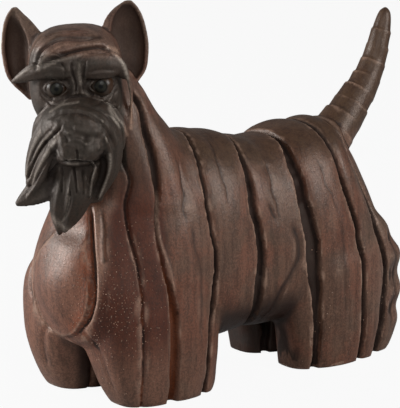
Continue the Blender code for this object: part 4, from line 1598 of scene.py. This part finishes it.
# %% [markdown]
# ## The eyes
#
# The eyes are smooth balls set behind the lids. They are painted, not glass: a black pupil, a dark
# grey-green iris with a darker ring round it, and brown beyond, under a soft gloss.

# %% Eyes
EYEBALL_RADIUS = 10.6
BEHIND = 20  # added to the distance from the pupil on the back half, which isn't painted as an eye
PUPIL, IRIS, IRIS_RING = (0.003, 0.003, 0.003), tint("25241e"), tint("100c09")
EYE_BROWN, EYE_CORNER = tint("382e26"), tint("38200f")


def eyes_mesh():
    clay = Clay()
    for eye in EYES_R:
        clay.loft(ball_rings((eye, EYE_F, EYE_Z), (EYEBALL_RADIUS,) * 3))
    mesh = mesh_of("eyes", clay.points, clay.faces)
    points, _ = coordinates(mesh)
    r, f, z = in_head(points)
    eye = np.where(r > 0, EYES_R[1], EYES_R[0])
    mark(mesh, "from_pupil", np.hypot(r - eye, z - EYE_Z) + BEHIND * (f < EYE_F))
    mark(mesh, "corner", smoothstep(5.5, 7.5, r - eye))
    return mesh


def eye_gloss():
    paint = Paint("eye_gloss")
    away = paint.attribute("from_pupil")
    paint.colour = PUPIL
    paint.coat(away.step(1.6, 2.4), IRIS)
    paint.coat(away.step(4.2, 5.0), IRIS_RING)
    paint.coat(away.step(5.2, 6.4), EYE_BROWN)
    paint.coat(paint.attribute("corner") * 0.6, EYE_CORNER)
    return paint.finish(Base_Color=paint.colour, Roughness=0.3, Specular_IOR_Level=0.2)


# %% [markdown]
# ## Showing the pieces
#
# The casting and the eyes are shifted so that the middle of the dog stands over the origin, and
# scaled to metres. Every piece is tied to the frame.

# %% Place the pieces
def to_metres(mesh):
    """The same mesh over the origin and in metres."""
    mesh.transform(Matrix.Scale(MM, 4) @ Matrix.Translation((-MIDDLE_X, -MIDDLE_Y, 0)))
    return mesh


def shown(name, mesh, material):
    mesh.materials.clear()
    mesh.materials.append(material)
    mesh.shade_smooth()
    piece = put(name, mesh)
    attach(piece, "root")
    return piece


FINISHED_POINTS, _ = coordinates(CASTING)
MIDDLE_X, MIDDLE_Y = -1.3, 36.4
told(f"the box goes from {FINISHED_POINTS.min(0).round(1)} to {FINISHED_POINTS.max(0).round(1)} mm")
DOG = shown("cast_dog", to_metres(CASTING), RESIN)
EYES = shown("eyes", to_metres(eyes_mesh()), eye_gloss())
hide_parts("dog")

# %% [markdown]
# ## Specks
#
# Where the red stain is darkest, small pimples of the cast surface show through it. They are
# scattered over the finished skin: one tree spreads points on it, thicker where the stored number
# `speckled` is high, and stands a small ball of random size on each.

# %% Specks
SPECKS_EACH_SQUARE_METRE = 42000.0
SPECK_LEAST, SPECK_MOST = 0.25, 0.7  # radius in mm
SPECK_PAINTED_HIGHLIGHT = 1.6  # how pale a speck is painted, as bare resin and painted highlight


def speckled_mask(x, y, z):
    """Where specks show: the near foreleg, the breast beside it, and a little on the hind leg."""
    foreleg = foreleg_mask(x, y, z) * (x > 0) * smoothstep(6, 25, z)
    breast = (y < BREAST_BACK_Y) * smoothstep(12, 30, x) * fade(120, 145, z) * (z > 60)
    hind = 0.16 * (x > 40) * smoothstep(98, 110, y) * fade(150, 200, z)
    thick = 1 + 3 * (y < -92) * (x > 20) * np.exp(-(((z - 98) / 34) ** 2))
    return np.maximum(np.maximum(0.5 * foreleg * thick, 0.8 * breast), hind) * (z > 6) * (z < 168)


def specks_on(skin):
    host = put("speck_host", skin.copy())
    mark(host.data, "speckled", speckled_mask(*FINISHED_POINTS.T))
    scatter = Grower(
        "scattered_specks", Density="Float", Least="Float", Most="Float", Seed="Int",
        Material="Material",
    )
    density = scatter.node(
        "ShaderNodeMath", {"operation": "MULTIPLY"},
        {0: scatter.stored("speckled"), 1: scatter.given("Density")},
    )
    spread = scatter.node(
        "GeometryNodeDistributePointsOnFaces", {},
        {"Mesh": scatter.given("Geometry"), "Density": density, "Seed": scatter.given("Seed")},
    )
    size = scatter.node(
        "FunctionNodeRandomValue", {"data_type": "FLOAT"},
        {2: scatter.given("Least"), 3: scatter.given("Most"), "Seed": scatter.given("Seed")}, 1,
    )
    ball = scatter.node("GeometryNodeMeshIcoSphere", {}, {"Radius": 1.0, "Subdivisions": 1})
    placed = scatter.node(
        "GeometryNodeInstanceOnPoints", {}, {"Points": spread, "Instance": ball, "Scale": size}
    )
    mesh = scatter.grow(
        host, placed, RESIN, Density=SPECKS_EACH_SQUARE_METRE, Least=SPECK_LEAST * MM,
        Most=SPECK_MOST * MM, Seed=5,
    )
    for name in [layer.name for layer in mesh.attributes]:
        if name in SKIN_MARKS + ["speckled"]:
            mesh.attributes.remove(mesh.attributes[name])
    # the specks are painted pale, partly as a painted highlight
    mark(mesh, "wiped", np.full(len(mesh.vertices), SPECK_PAINTED_HIGHLIGHT))
    return mesh


SPECKS = shown("specks", specks_on(CASTING), RESIN)
told(f"{len(SPECKS.data.polygons) // 20} specks")

# %% [markdown]
# ## The studio
#
# A pale floor runs out of sight. The strongest light stands low before the dog's right shoulder,
# weaker ones stand to its left front and its left rear, and the sky is even and dim.

# %% Floor and lights
FLOOR_GREY, FLOOR_GLOW = 0.4, 0.93
FLOOR_HALF = 15.0
LIGHTS = [  # name, turn and rise in degrees, distance, size, power
    ("key", -40, 14, 1.8, 0.8, 38),
    ("fill", 54, 29, 2.2, 1.0, 14),
    ("side", 124, 24, 1.9, 0.7, 20),
]
SKY = 0.18


def lit_floor():
    """Grey to the dog, so that little light comes from below, but washed with light of its own."""
    paint = Paint("pale_floor")
    paint.finish(Base_Color=(FLOOR_GREY, FLOOR_GREY, FLOOR_GREY, 1), Roughness=0.7)
    glow = new_node(paint.tree, "ShaderNodeEmission", {}, {}).outputs[0]
    seen = paint.node("ShaderNodeLightPath", {}, {}, "Is Camera Ray")
    blend = new_node(
        paint.tree, "ShaderNodeMixShader", {},
        {0: seen * FLOOR_GLOW, 1: paint.shader.outputs[0], 2: glow},
    )
    feed(paint.tree, paint.tree.nodes["Material Output"].inputs["Surface"], blend.outputs[0])
    return paint.material


def floor():
    corners = [(-1, -1), (1, -1), (1, 1), (-1, 1)]
    mesh = mesh_of("floor", [(FLOOR_HALF * x, FLOOR_HALF * y, 0) for x, y in corners], [(0, 1, 2, 3)])
    mesh.materials.append(lit_floor())
    made = put("floor", mesh)
    made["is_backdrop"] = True


def soft_light(name, turn, rise, distance, size, power):
    """A square light aimed at the dog."""
    lamp = bpy.data.lights.new(name, "AREA")
    lamp.size = size
    lamp.energy = power
    return aimed(name, lamp, turn, rise, distance)


def sky(strength):
    world = bpy.data.worlds.new("studio")
    world.use_nodes = True
    background = world.node_tree.nodes["Background"]
    background.inputs["Color"].default_value = (1, 1, 1, 1)
    background.inputs["Strength"].default_value = strength
    bpy.context.scene.world = world


floor()
for light in LIGHTS:
    soft_light(*light)
sky(SKY)
bpy.context.scene.view_settings.view_transform = "Standard"

# %% Sizes and finish
LOW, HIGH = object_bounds()
SIZE, CAD_SIZE = ([round(v / MM, 1) for v in span] for span in (HIGH - LOW, CAD_HIGH - CAD_LOW))
told(f"size {SIZE} mm against {CAD_SIZE}")
